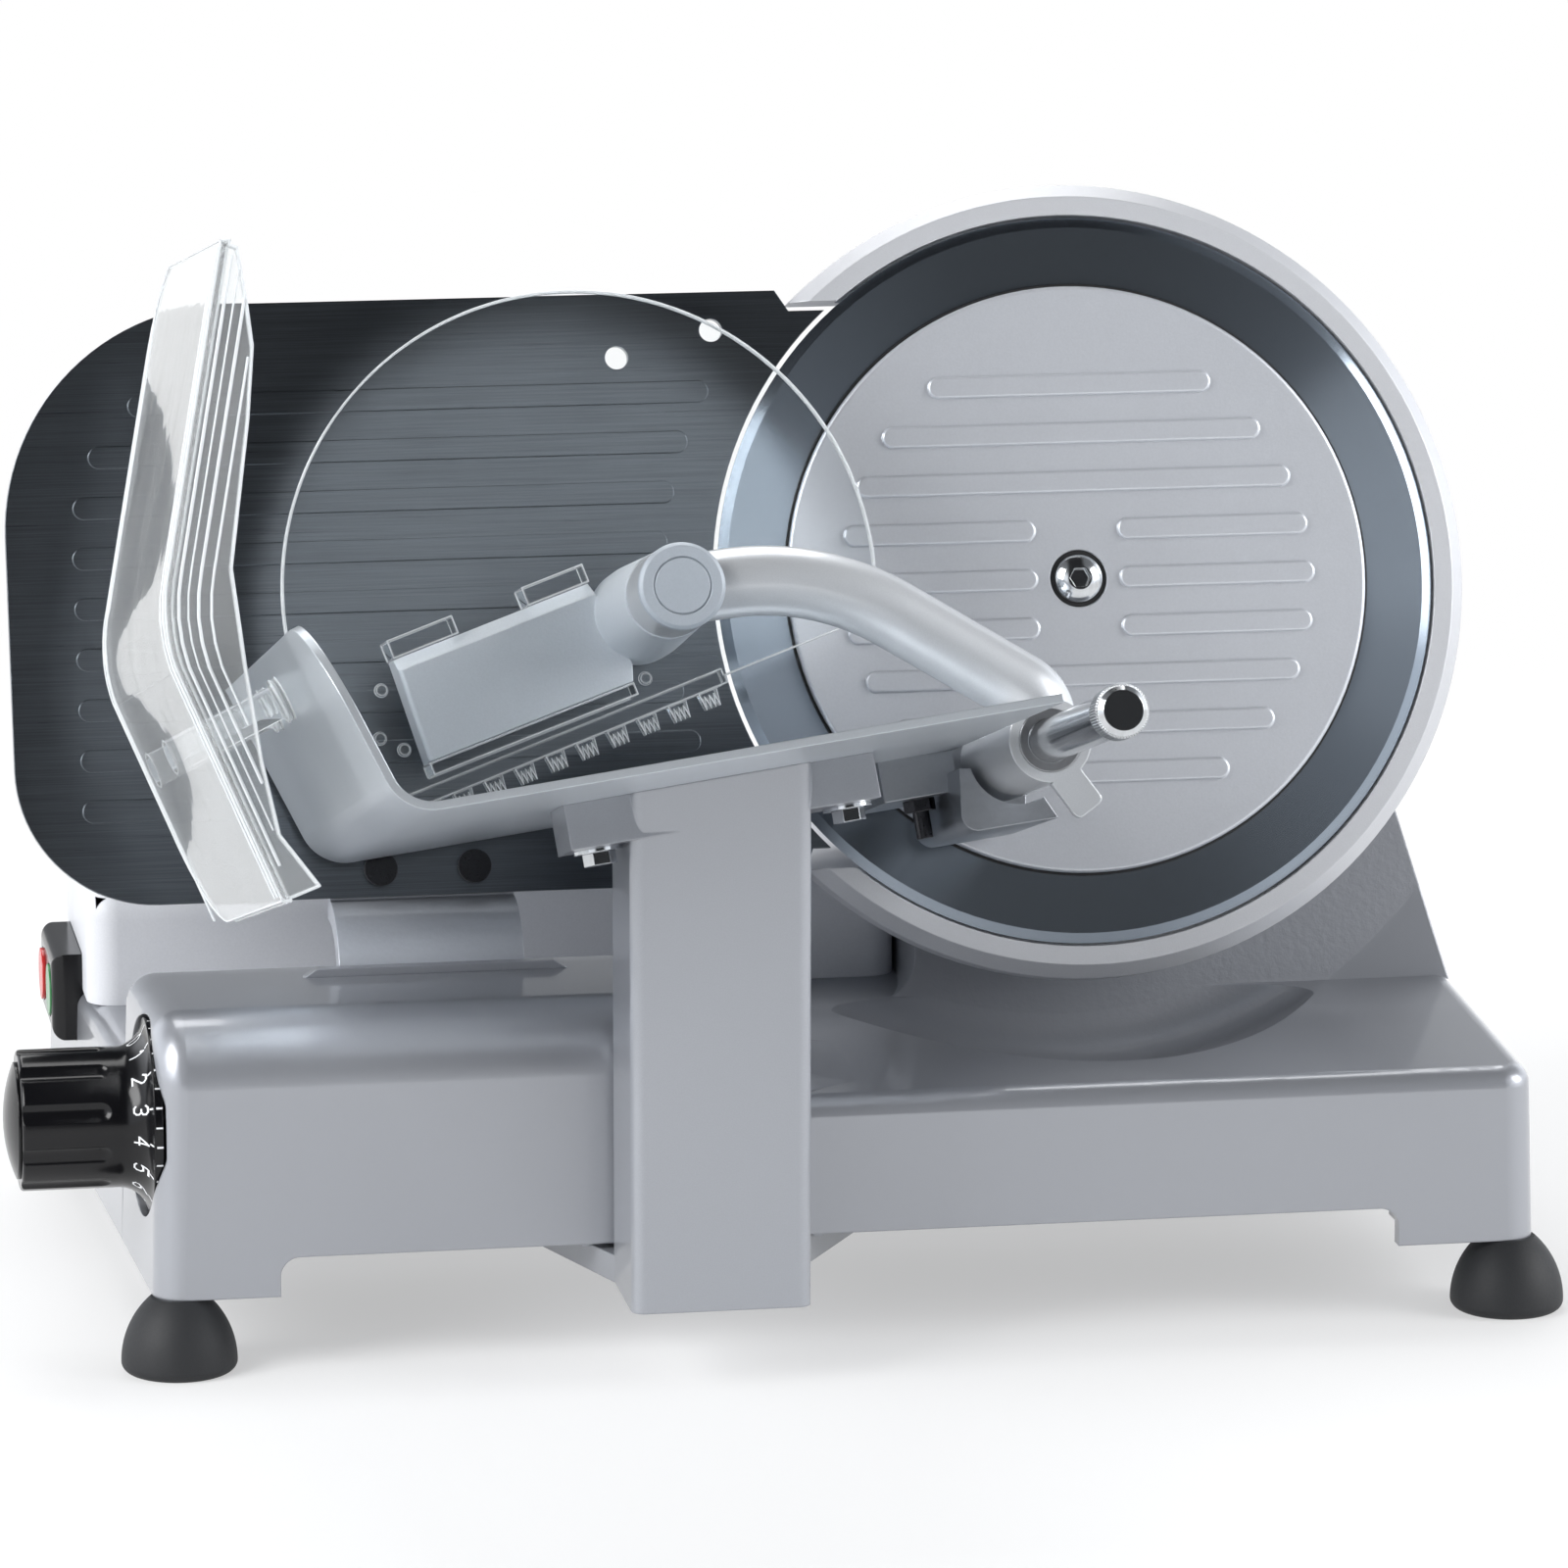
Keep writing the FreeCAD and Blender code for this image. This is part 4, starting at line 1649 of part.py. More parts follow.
rod_end = block_face + rod_seat - end_gap
drawn = new_sketch(rod, "YZ", -rod_end)
circle(drawn, rod_y, rod_z, rod_radius)
pad(rod, drawn, 2 * rod_end)
rail = new_piece("guide_rail")
drawn = new_sketch(rail, "XY", rail_bottom)
rectangle(drawn, -rail_reach, rail_y - rail_half, rail_reach, rail_y + rail_half)
pad(rail, drawn, rail_height)
cushion = new_piece("guide_pad")
drawn = new_sketch(cushion, "XY", arm_low + arm_thickness)
rectangle(drawn, arm_left + arm_width / 4, rail_y - rail_half, arm_right - arm_width / 4, arm_back)
pad(cushion, drawn, rail_bottom - arm_low - arm_thickness - 2 * fit)

# Tray and what is bolted under it

tray = new_piece("food_tray")
drawn = new_sketch(tray, "XY", tray_back)
bend_reach = tray_bend * tangent((180 - wall_lean + floor_rise) / 2)
outline(drawn, [
    tray_point(floor_length, -half_sheet),
    tray_point(bend_reach, -half_sheet) + (tray_bend + half_sheet,),
    wall_point(bend_reach, -half_sheet), wall_point(wall_length, -half_sheet),
    wall_point(wall_length, half_sheet),
    wall_point(bend_reach, half_sheet) + (half_sheet - tray_bend,),
    tray_point(bend_reach, half_sheet), tray_point(floor_length, half_sheet)])
step = pad(tray, drawn, tray_depth)
rim_x = wall_point(wall_length, 0)[0]
soften(tray, step, edges_where(
    step, lambda middle, way, edge: near(middle.z, tray_back + tray_depth)
    and near(middle.x, rim_x, 1) and edge.Length < 3), tray_round)


def square_sketch(made, point, turned_by, z):
    """A sketch square to the blade plane; unturned its normal points down."""
    drawn = new_sketch(made, "XZ")
    drawn.AttachmentOffset = Placement(
        Vector(0, 0, 0), Rotation(Vector(0, 1, 0), float(turned_by)))
    bind(drawn, "AttachmentOffset.Rotation.Angle", turned_by)
    bind(drawn, "AttachmentOffset.Base.x", point[0])
    bind(drawn, "AttachmentOffset.Base.y", z)
    bind(drawn, "AttachmentOffset.Base.z", -point[1])
    return drawn


def floor_sketch(made, x, across, z):
    """A sketch square to the tray floor whose normal points away below it."""
    return square_sketch(made, tray_point(floor_reach(x), across), floor_rise, z)


bores = new_body("wing_bores")
bolts = new_piece("tray_bolts")
washers = new_piece("tray_washers")
wing_bolts = (bolt_left, bolt_right)
for x in wing_bolts:
    drawn = floor_sketch(tray, x, half_sheet, bolt_z)
    circle(drawn, 0, 0, bolt_radius + fit)
    pocket(tray, drawn, 2 * tray_sheet, both_ways=True)
    drawn = floor_sketch(washers, x, wing_low, bolt_z)
    circle(drawn, 0, 0, washer_radius)
    circle(drawn, 0, 0, bolt_radius + fit)
    pad(washers, drawn, washer_thickness)
    drawn = floor_sketch(bolts, x, wing_low - washer_thickness, bolt_z)
    hexagon(drawn, 0, 0, bolt_flats)
    pad(bolts, drawn, bolt_head)
    drawn = floor_sketch(bolts, x, wing_low - washer_thickness, bolt_z)
    circle(drawn, 0, 0, bolt_radius)
    pad(bolts, drawn, washer_thickness + wing_height + tray_sheet, backwards=True)
    drawn = floor_sketch(bores, x, wing_low, bolt_z)
    circle(drawn, 0, 0, bolt_radius + fit)
    pad(bores, drawn, 2 * wing_height, both_ways=True)
for made in (bolts, washers, bores):
    into_blade_frame(made)
bored = post.newObject("PartDesign::Boolean", "post_bored")
bored.Type = "Cut"
bored.addObjects([bores])
doc.recompute()

# Bracket that carries the pusher's rod

bracket = new_piece("rod_bracket")
flange_low = -half_sheet - bracket_height
block_depth = bracket_front - bracket_lug_back
drawn = new_sketch(bracket, "XY", bracket_lug_back)
outline(drawn, [
    tray_point(floor_reach(bracket_left), -half_sheet),
    tray_point(floor_reach(bracket_left), flange_low),
    tray_point(floor_reach(bracket_right), flange_low),
    tray_point(floor_reach(bracket_right), -half_sheet)])
pad(bracket, drawn, block_depth)
trough_top = tray_point(floor_reach(bracket_right), flange_low)[1] + trough_corner
drawn = new_sketch(bracket, "XY", bracket_lug_back)
outline(drawn, [
    (-trough_left, trough_top), (-trough_left, trough_corner - trough_low, -trough_corner),
    (trough_corner - trough_left, -trough_low), (-trough_tip_x, -trough_tip_drop),
    (-trough_end_x, trough_top)])
pad(bracket, drawn, trough_front - bracket_lug_back)
drawn = new_sketch(bracket, "XY", bracket_lug_back + bracket_lug_depth)
circle(drawn, -pusher_x, -pusher_drop, trough_radius)
pocket(bracket, drawn, trough_front - bracket_lug_back - bracket_lug_depth, backwards=True)
drawn = new_sketch(bracket, "XY", bracket_lug_back)
outline(drawn, [
    (-pusher_x - bracket_lug_radius, trough_corner - trough_low),
    (bracket_lug_radius - pusher_x, trough_corner - trough_low),
    (bracket_lug_radius - pusher_x, -pusher_drop, -bracket_lug_radius),
    (-pusher_x, bracket_lug_radius - pusher_drop, -bracket_lug_radius),
    (-pusher_x - bracket_lug_radius, -pusher_drop)])
pad(bracket, drawn, bracket_lug_depth)
drawn = new_sketch(bracket, "XY", bracket_lug_back)
circle(drawn, -pusher_x, -pusher_drop, pusher_rod_radius)
pocket(bracket, drawn, bracket_lug_depth, backwards=True)
drawn = floor_sketch(bracket, bracket_bolt_x, -half_sheet, bracket_bolt_z)
circle(drawn, 0, 0, bolt_radius + fit)
pocket(bracket, drawn, 4 * bracket_height, both_ways=True)
into_blade_frame(bracket)
drawn = floor_sketch(tray, bracket_bolt_x, half_sheet, bracket_bolt_z)
circle(drawn, 0, 0, bolt_radius + fit)
pocket(tray, drawn, 2 * tray_sheet, both_ways=True)
into_blade_frame(tray)
bolt = new_piece("bracket_bolt")
drawn = floor_sketch(bolt, bracket_bolt_x, half_sheet, bracket_bolt_z)
circle(drawn, 0, 0, bolt_radius)
pad(bolt, drawn, tray_sheet + bracket_height + bolt_head + bracket_thread)
drawn = floor_sketch(bolt, bracket_bolt_x, flange_low, bracket_bolt_z)
hexagon(drawn, 0, 0, bolt_flats)
pad(bolt, drawn, bolt_head)
into_blade_frame(bolt)

# Pusher

clip_shares = ((0, 0.33), (0.69, 1))
rod = new_piece("pusher_rod")
drawn = new_sketch(rod, "XZ")
rod_front = bracket_lug_back + pusher_rod_length
collar_back = rod_front - rod_collar_length - 2
outline(drawn, [
    (0, bracket_lug_back), (pusher_rod_radius, bracket_lug_back),
    (pusher_rod_radius, collar_back), (rod_collar_radius, collar_back),
    (rod_collar_radius, rod_front - 2), (rod_collar_radius - 2, rod_front), (0, rod_front)])
revolve(rod, drawn)
into_blade_frame(rod, -pusher_x, -pusher_drop)
liner = new_piece("sleeve_liner")
drawn = new_sketch(liner, "XZ")
lip = 1.5
outline(drawn, [
    (pusher_rod_radius + fit, sleeve_back - end_gap - lip),
    (sleeve_radius - 1, sleeve_back - end_gap - lip), (sleeve_radius - 1, sleeve_back - end_gap),
    (liner_radius, sleeve_back - end_gap), (liner_radius, sleeve_back + sleeve_length + end_gap),
    (pusher_rod_radius + fit, sleeve_back + sleeve_length + end_gap)])
revolve(liner, drawn)
into_blade_frame(liner, -pusher_x, -pusher_drop)

arm = new_piece("pusher_arm")
hub_back = tube_z - tube_radius - hub_edge
hub_depth = 2 * (tube_radius + hub_edge)
bow_x = hub_x - tube_straight * cosine(tube_rise)
bow_drop = hub_drop - tube_straight * sine(tube_rise)
bow_end_x = bow_x - tube_bow * (sine(tube_rise) + sine(tube_fall))
bow_end_drop = bow_drop + tube_bow * (cosine(tube_rise) - cosine(tube_fall))
turn_x = pusher_x + tube_turn * (1 - sine(tube_fall))
turn_drop = bow_end_drop + (bow_end_x - turn_x) * tangent(tube_fall)
turn_end_drop = turn_drop + tube_turn * cosine(tube_fall)
drawn = new_sketch(arm, "XY", tube_z)
outline(drawn, [
    (-hub_x, -hub_drop), (-bow_x, -bow_drop, tube_bow), (-bow_end_x, -bow_end_drop),
    (-turn_x, -turn_drop, tube_turn), (-pusher_x, -turn_end_drop)], closed=False)
section = new_sketch(arm, "YZ", -hub_x)
section.AttachmentOffset = Placement(Vector(0, 0, 0), Rotation(Vector(0, 1, 0), float(tube_rise)))
bind(section, "AttachmentOffset.Rotation.Angle", tube_rise)
bind(section, "AttachmentOffset.Base.x", -hub_drop)
bind(section, "AttachmentOffset.Base.y", tube_z)
circle(section, 0, 0, tube_radius)
bent = arm.newObject("PartDesign::AdditivePipe", "arm_tube")
bent.Profile = section
bent.Spine = drawn
doc.recompute()
drawn = new_sketch(arm, "XY", sleeve_back)
circle(drawn, -pusher_x, -pusher_drop, sleeve_radius)
pad(arm, drawn, sleeve_length)


def lever_point(reach, across):
    """A point at the sleeve's lever: along it from the rod axis and across it."""
    return (reach * cosine(lever_angle) - across * sine(lever_angle) - pusher_x,
            -(reach * sine(lever_angle) + across * cosine(lever_angle)) - pusher_drop)


lever_left = lever_offset + lever_width / 2
lever_right = lever_offset - lever_width / 2
drawn = new_sketch(arm, "XY", sleeve_back + sleeve_length - lever_thickness)
outline(drawn, [
    lever_point(liner_radius + 1, lever_left),
    lever_point(lever_reach - lever_round, lever_left) + (-lever_round,),
    lever_point(lever_reach, lever_left - lever_round),
    lever_point(lever_reach, lever_right + lever_round) + (-lever_round,),
    lever_point(lever_reach - lever_round, lever_right),
    lever_point(liner_radius + 1, lever_right)])
pad(arm, drawn, lever_thickness)
drawn = new_sketch(arm, "XY", sleeve_back)
circle(drawn, -pusher_x, -pusher_drop, liner_radius + fit)
pocket(arm, drawn, sleeve_length, backwards=True)
drawn = new_sketch(arm, "XY", hub_back)
circle(drawn, -hub_x, -hub_drop, hub_radius)
pad(arm, drawn, hub_depth)
drawn = new_sketch(arm, "XY", hub_back)
circle(drawn, -hub_x, -hub_drop, pivot_radius)
pad(arm, drawn, hub_back - pivot_back, backwards=True)
into_blade_frame(arm)
cap = new_piece("pusher_hub_cap")
drawn = new_sketch(cap, "XZ")
cap_low = hub_back + hub_depth
outline(drawn, [
    (0, cap_low), (hub_radius, cap_low), (hub_radius, cap_low + cap_thickness - 1),
    (hub_radius - 1, cap_low + cap_thickness), (cap_step + 0.4, cap_low + cap_thickness),
    (cap_step + 0.4, cap_low + cap_thickness - 0.5), (cap_step, cap_low + cap_thickness - 0.5),
    (cap_step, cap_low + cap_thickness), (0, cap_low + cap_thickness)])
revolve(cap, drawn)
into_blade_frame(cap, -hub_x, -hub_drop)

grip = new_piece("pusher_grip")
drawn = new_sketch(grip, "XY", grip_back)
outline(drawn, [
    (-grip_left_x, -grip_left_drop), (-grip_low_x, -grip_low_drop),
    (-grip_right_x, -grip_right_drop), (-grip_right_x, -grip_shoulder_drop),
    (-grip_top_x, grip_top_rise)])
step = pad(grip, drawn, grip_depth)
grip_front = grip_back + grip_depth
middle_x = -(grip_left_x + grip_top_x) / 2
step = soften(grip, step, edges_where(
    step, lambda middle, way, edge: near(middle.z, grip_front)
    and near(middle.x, middle_x, 1) and middle.y > -float(grip_shoulder_drop)),
    grip_bevel, "Chamfer")
soften(grip, step, edges_where(
    step, lambda middle, way, edge: near(middle.z, grip_front)
    and middle.x < -float(grip_low_x)), grip_round)
drawn = new_sketch(grip, "XZ", hub_drop)
bind(drawn, "AttachmentOffset.Base.x", -hub_x)
outline(drawn, [
    (0, grip_back), (barrel_radius, grip_back), (barrel_radius, grip_front),
    (barrel_end, hub_back - end_gap), (0, hub_back - end_gap)])
revolve(grip, drawn)
drawn = new_sketch(grip, "XY", hub_back)
circle(drawn, -hub_x, -hub_drop, pivot_radius + fit)
pocket(grip, drawn, hub_back - pivot_back + end_gap)
into_blade_frame(grip)

plate = new_piece("pusher_plate")
rail_cosine = cosine(toothed_rise)
rail_sine = sine(toothed_rise)


def rail_point(along, across):
    """A point at the toothed rail: along it from its left end and above its line."""
    return (along * rail_cosine - across * rail_sine - toothed_x,
            along * rail_sine + across * rail_cosine - toothed_drop)


centre_along = ((toothed_x - plate_x) * rail_cosine + (toothed_drop - plate_drop) * rail_sine)
centre_above = ((toothed_drop - plate_drop) * rail_cosine - (toothed_x - plate_x) * rail_sine)
half_chord = root(plate_radius * plate_radius - centre_above * centre_above)
drawn = new_sketch(plate, "XY", plate_back)
outline(drawn, [
    rail_point(centre_along - half_chord, 0),
    rail_point(centre_along + half_chord, 0) + (-plate_radius,),
    (-plate_x, plate_radius - plate_drop, -plate_radius)])
step = pad(plate, drawn, plate_thickness)
soften(plate, step, edges_where(
    step, lambda middle, way, edge: is_upright(middle, way, edge)
    and middle.y < plate_radius / 2), plate_round)
drawn = new_sketch(plate, "XY", plate_back + plate_thickness)
outline(drawn, [
    rail_point(0, -toothed_height / 2), rail_point(toothed_length, -toothed_height / 2),
    rail_point(toothed_length, toothed_height / 2), rail_point(0, toothed_height / 2)])
pad(plate, drawn, toothed_depth + plate_thickness, backwards=True)
drawn = new_sketch(plate, "XY", plate_back - toothed_depth / 4)
spikes = 4
tooth_step = (toothed_length - 2 * tooth_width) / (tooth_count - 1)
for number in range(int(float(tooth_count))):
    start = tooth_width / 2 + tooth_step * number
    teeth = [rail_point(start, -toothed_height / 2 + 0.5)]
    for point in range(spikes):
        teeth.append(rail_point(start + tooth_width * (point + 0.5) / spikes,
                                -toothed_height / 2 - tooth_height))
        teeth.append(rail_point(start + tooth_width * (point + 1) / spikes,
                                -toothed_height / 2 - tooth_height / 4))
    teeth[-1] = rail_point(start + tooth_width, -toothed_height / 2 + 0.5)
    outline(drawn, teeth)
pad(plate, drawn, toothed_depth / 2, backwards=True)


def beside(first, last, start, end, low, high):
    """A strip beside the line from first to last, between two shares of it."""
    run, climb = last[0] - first[0], last[1] - first[1]
    length = root(run * run + climb * climb)
    return [(first[0] + run * share - climb / length * lift,
             first[1] + climb * share + run / length * lift)
            for share, lift in ((start, low), (end, low), (end, high), (start, high))]


grip_edge = ((-grip_left_x, -grip_left_drop), (-grip_top_x, grip_top_rise))
grip_foot = ((-grip_low_x, -grip_low_drop), (-grip_right_x, -grip_right_drop))
drawn = new_sketch(plate, "XY", plate_back + plate_thickness)
for start, end in clip_shares:
    outline(drawn, beside(*grip_edge, start, end, end_gap, clip_height))
outline(drawn, beside(*grip_foot, 0, 1, -ledge_height, -end_gap))
pad(plate, drawn, clip_depth)
into_blade_frame(plate)

# Hand guard

guard = new_piece("hand_guard")
drawn = new_sketch(guard, "XY", guard_back)
outline(drawn, [
    (-guard_low_x, -guard_low), (-guard_low_x + guard_sheet, -guard_low),
    (-guard_knee_x + guard_sheet, -guard_knee, guard_bow),
    (-guard_waist_x + guard_sheet, -guard_waist), (-guard_high_x + guard_sheet, guard_high),
    (-guard_high_x, guard_high), (-guard_waist_x, -guard_waist, -guard_bow),
    (-guard_knee_x, -guard_knee)])
pad(guard, drawn, guard_depth, aside=guard_slant)
drawn = new_sketch(guard, "YZ", -guard_waist_x - guard_round)
round_top = guard_back + guard_round
for end, way in ((-guard_low, 1), (guard_high, -1)):
    outline(drawn, [
        (end - way * guard_sheet, guard_back - guard_sheet),
        (end + way * guard_round, guard_back - guard_sheet),
        (end + way * guard_round, guard_back, way * guard_round), (end, round_top),
        (end - way * guard_sheet, round_top)])
pocket(guard, drawn, 3 * guard_round, backwards=True)
guard_front = guard_back + guard_depth
drawn = new_sketch(guard, "YZ", -guard_waist_x - guard_round)
outline(drawn, [
    (guard_high, guard_back), (guard_high + guard_round, guard_back),
    (guard_high + guard_round, guard_front + guard_flange),
    (guard_front_high, guard_front + guard_flange)])
pocket(guard, drawn, 3 * guard_round, backwards=True)
low_run, low_climb = guard_knee_x - guard_low_x, guard_low - guard_knee
high_run, high_climb = guard_waist_x - guard_high_x, guard_high + guard_waist
low_line = ((0.06, 0.63), (0.28, 0.39), (0.6, 0.62), (1, 1))
high_line = ((0, 0.9), (0.42, 0.8), (0.62, 0.7), (0.74, 0.52), (0.9, 0.25))
corners = [(guard_slant - guard_low_x, -guard_low)]
for share, width in low_line:
    corners.append((guard_slant - guard_low_x - low_run * share + guard_flange_width * width,
                    low_climb * share - guard_low))
for share, width in high_line:
    corners.append((guard_slant - guard_waist_x + high_run * share + guard_flange_width * width,
                    high_climb * share - guard_waist))
share = (guard_front_high + guard_waist) / high_climb
corners += [(guard_slant - guard_waist_x + high_run * share, guard_front_high),
            (guard_slant - guard_waist_x, -guard_waist, -guard_bow),
            (guard_slant - guard_knee_x, -guard_knee)]
drawn = new_sketch(guard, "XY", guard_front)
outline(drawn, corners)
pad(guard, drawn, guard_flange, backwards=True)
peg_angle = wall_lean - 180
foot = wall_point(peg_reach, -half_sheet)
for z in (peg_front, peg_front - peg_spacing):
    reach_x = guard_low_x - guard_sheet / 2 - guard_slant * (z - guard_back) / guard_depth
    peg_length = (((reach_x + foot[0]) * low_climb + (foot[1] + guard_low) * low_run)
                  / (sine(wall_lean) * low_climb - cosine(wall_lean) * low_run))
    for radius, length in ((peg_radius, peg_length), (peg_head_radius, peg_head_depth)):
        drawn = square_sketch(guard, foot, peg_angle, z)
        circle(drawn, 0, 0, radius)
        pad(guard, drawn, length)
into_blade_frame(guard)


# Check and write every piece

doc.recompute()
for thing in doc.Objects:
    if "Invalid" in thing.State or "Error" in thing.State:
        raise RuntimeError("%s does not compute" % thing.Label)
for piece in pieces:
    shape = piece.Shape
    if shape.isNull() or not shape.isValid() or not shape.Solids:
        raise RuntimeError("%s has no sound shape" % piece.Label)

# The files are written about the middle of the whole machine, on the table
whole = Part.makeCompound([piece.Shape for piece in pieces]).BoundBox
to_middle = Vector(-whole.Center.x, -whole.Center.y, 0)
os.makedirs("parts", exist_ok=True)
for piece in pieces:
    piece.Shape.translated(to_middle).exportStep(os.path.join("parts", piece.Label + ".step"))
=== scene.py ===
import json
import math

import bmesh
import bpy
from bpy.props import FloatProperty, FloatVectorProperty, IntProperty, PointerProperty
from bpy.types import Operator, Panel, PropertyGroup
from mathutils import Matrix, Vector


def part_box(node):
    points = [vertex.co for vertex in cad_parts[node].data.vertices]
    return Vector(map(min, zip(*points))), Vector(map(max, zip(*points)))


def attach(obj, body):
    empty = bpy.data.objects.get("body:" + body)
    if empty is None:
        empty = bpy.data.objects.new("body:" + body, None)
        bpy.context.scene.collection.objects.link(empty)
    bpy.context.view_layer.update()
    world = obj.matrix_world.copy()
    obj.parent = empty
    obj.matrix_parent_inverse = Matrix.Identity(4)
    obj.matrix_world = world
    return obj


bl_info = {
    "name": "Food slicer looks",
    "version": (1, 0, 0),
    "blender": (4, 5, 0),
    "location": "View3D > Sidebar > Slicer",
    "description": "Finishes and fine pieces of an electric food slicer",
    "category": "Object",
}

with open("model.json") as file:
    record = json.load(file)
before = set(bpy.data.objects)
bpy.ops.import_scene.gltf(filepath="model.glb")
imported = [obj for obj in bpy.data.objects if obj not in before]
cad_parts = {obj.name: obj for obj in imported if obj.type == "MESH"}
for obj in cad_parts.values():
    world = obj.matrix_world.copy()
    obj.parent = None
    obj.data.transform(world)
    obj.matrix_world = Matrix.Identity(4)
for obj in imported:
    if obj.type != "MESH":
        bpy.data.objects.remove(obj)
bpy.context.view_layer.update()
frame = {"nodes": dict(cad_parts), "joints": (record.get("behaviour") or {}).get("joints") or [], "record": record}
nodes = frame["nodes"]
joints = {joint["name"]: joint for joint in frame["joints"]}

# Directions and places that every piece is set out from
blade_centre = Vector(joints["blade_spin"]["pos_m"])
blade_out = Vector(joints["blade_spin"]["axis"])
blade_right = Vector((1, 0, 0))
blade_up = blade_out.cross(blade_right)
rod_axis = blade_centre + blade_right * -0.037 + blade_up * -0.058
knob_axis = Vector(joints["knob_turn"]["pos_m"])
picture = 1600          # pixels along each side of the photograph

# The casting is grained inside the blade's room, and darkened there as painted shade of that recess; both a little
# less below the deck's top
blade_room = 0.1464
blade_room_edge = 0.0014
deck_top = 0.068
deck_fade = 0.008
deck_grain_and_shade = 0.85

# Knurled end of the rod, out from the blade, and the teeth round it
knurl_start = 0.2215
knurl_fade = 0.001
knurl_radius = 0.0068
knurl_depth = 0.0004
knurl_teeth = 60


def blade_place(x, up, out):
    """A point in millimetres across, up and out of the blade's plane from its centre."""
    return blade_centre + (blade_right * x + blade_up * up + blade_out * out) / 1000


# Sizes and colours that a user would change


def colour(name, what, value):
    return FloatVectorProperty(name=name, description=what, default=value, size=3,
                               subtype="COLOR", min=0, max=1)


def length(name, what, value):
    return FloatProperty(name=name, description=what, default=value, subtype="DISTANCE",
                         unit="LENGTH", min=0, precision=4)


class SlicerColours(PropertyGroup):
    paint: colour("Casting paint", "Silver paint of the casting", (0.36, 0.372, 0.402))
    ring: colour("Ring", "Blasted aluminium of the guard ring", (0.60, 0.61, 0.635))
    blade: colour("Blade", "Polished blade steel", (0.34, 0.39, 0.45))
    bright: colour("Bright steel", "Rod, bolts and washers", (0.62, 0.64, 0.66))
    disc: colour("Cover disc", "Satin disc before the blade", (0.62, 0.64, 0.68))
    gauge: colour("Gauge plate", "Dark brushed gauge plate", (0.155, 0.172, 0.192))
    tray: colour("Tray", "Satin sheet of the tray", (0.62, 0.66, 0.70))
    post: colour("Post", "Satin grey paint of the carriage", (0.37, 0.384, 0.415))
    arm: colour("Arm", "Silver paint of the pusher's arm", (0.64, 0.66, 0.685))
    grip: colour("Grip", "Grey plastic of the pusher's grip", (0.62, 0.66, 0.70))
    cover: colour("Rear cover", "Pale plastic of the rear covers", (0.64, 0.65, 0.68))
    # Black also colours the painted shade in the gaps round the cover disc and its screw
    black: colour("Black plastic", "Knob and switch housing", (0.005, 0.005, 0.006))
    rubber: colour("Rubber", "Feet and belt", (0.014, 0.015, 0.017))
    clear: colour("Clear plastic", "Guard and pusher plate", (0.96, 0.98, 0.99))
    # Pale tint of the beads that are painted highlights along the clear plastic's edges and lines
    edge: colour("Clear edges", "Cut edges of the clear plastic", (0.92, 0.95, 0.97))
    dark: colour("Dark screws", "Blackened screws", (0.06, 0.06, 0.065))
    steel: colour("Plain steel", "Shafts, screws and plates", (0.42, 0.43, 0.45))
    bronze: colour("Bronze", "Plain bushes", (0.52, 0.36, 0.18))
    slide: colour("Slide plastic", "Liner, pulley and cam", (0.72, 0.72, 0.68))
    motor: colour("Motor", "Dark paint of the motor", (0.10, 0.105, 0.11))
    board: colour("Board", "Lacquered control board", (0.03, 0.16, 0.06))
    stop: colour("Stop key", "Red key", (0.52, 0.03, 0.03))
    start: colour("Start key", "Green key", (0.05, 0.22, 0.08))
    bracket: colour("Bracket", "Dark zinc of the rod's bracket", (0.40, 0.42, 0.45))
    cap: colour("Hub cap", "Grey plastic cap of the pusher's hub", (0.42, 0.46, 0.505))
    carrier: colour("Carrier", "Pale casting that carries the gauge plate", (0.5, 0.52, 0.56))
    print: colour("Numbers", "Numbers and lines of the dial", (0.85, 0.86, 0.88))


class SlicerSizes(PropertyGroup):
    camera_azimuth: FloatProperty(
        name="Camera azimuth", description="Turn of the camera about the machine",
        default=math.radians(9.7), subtype="ANGLE")
    camera_elevation: FloatProperty(
        name="Camera elevation", description="Height of the camera as an angle",
        default=math.radians(11.9), subtype="ANGLE")
    camera_distance: length("Camera distance", "From the camera to the blade", 2.36686)
    camera_lens: FloatProperty(name="Lens", description="Focal length in millimetres",
                               default=180, min=20, max=400)
    blade_across: IntProperty(
        name="Blade across", description="Blade's centre in the picture, from its middle to the "
        "right, of 1600", default=299)
    blade_above: IntProperty(
        name="Blade above", description="Blade's centre in the picture, above its middle, of 1600",
        default=209)


# Making materials


class Nodes:
    """Nodes of a tree; a value that is a socket is linked."""

    def __init__(self, tree):
        self.tree = tree

    def fill(self, made, values):
        """Fill inputs of a node with values, or link them."""
        for key, value in values.items():
            if isinstance(value, bpy.types.NodeSocket):
                self.tree.links.new(value, made.inputs[key])
            else:
                made.inputs[key].default_value = value

    def add(self, kind, values, out=0, **settings):
        """Add a node with its inputs filled, and give one of its outputs."""
        made = self.tree.nodes.new("ShaderNode" + kind)
        for key, value in settings.items():
            setattr(made, key, value)
        self.fill(made, values)
        return made.outputs[out]

    def math(self, kind, first, second=0.0):
        return self.add("Math", {0: first, 1: second}, operation=kind)

    def parts(self, vector):
        """The X, Y and Z of a vector."""
        made = self.tree.nodes.new("ShaderNodeSeparateXYZ")
        self.fill(made, {"Vector": vector})
        return made.outputs

    def step(self, value, start, end, low=0.0, high=1.0):
        """A smooth step from low at start to high at end."""
        return self.add("MapRange", {"Value": value, "From Min": start, "From Max": end,
                                     "To Min": low, "To Max": high},
                        interpolation_type="SMOOTHSTEP")


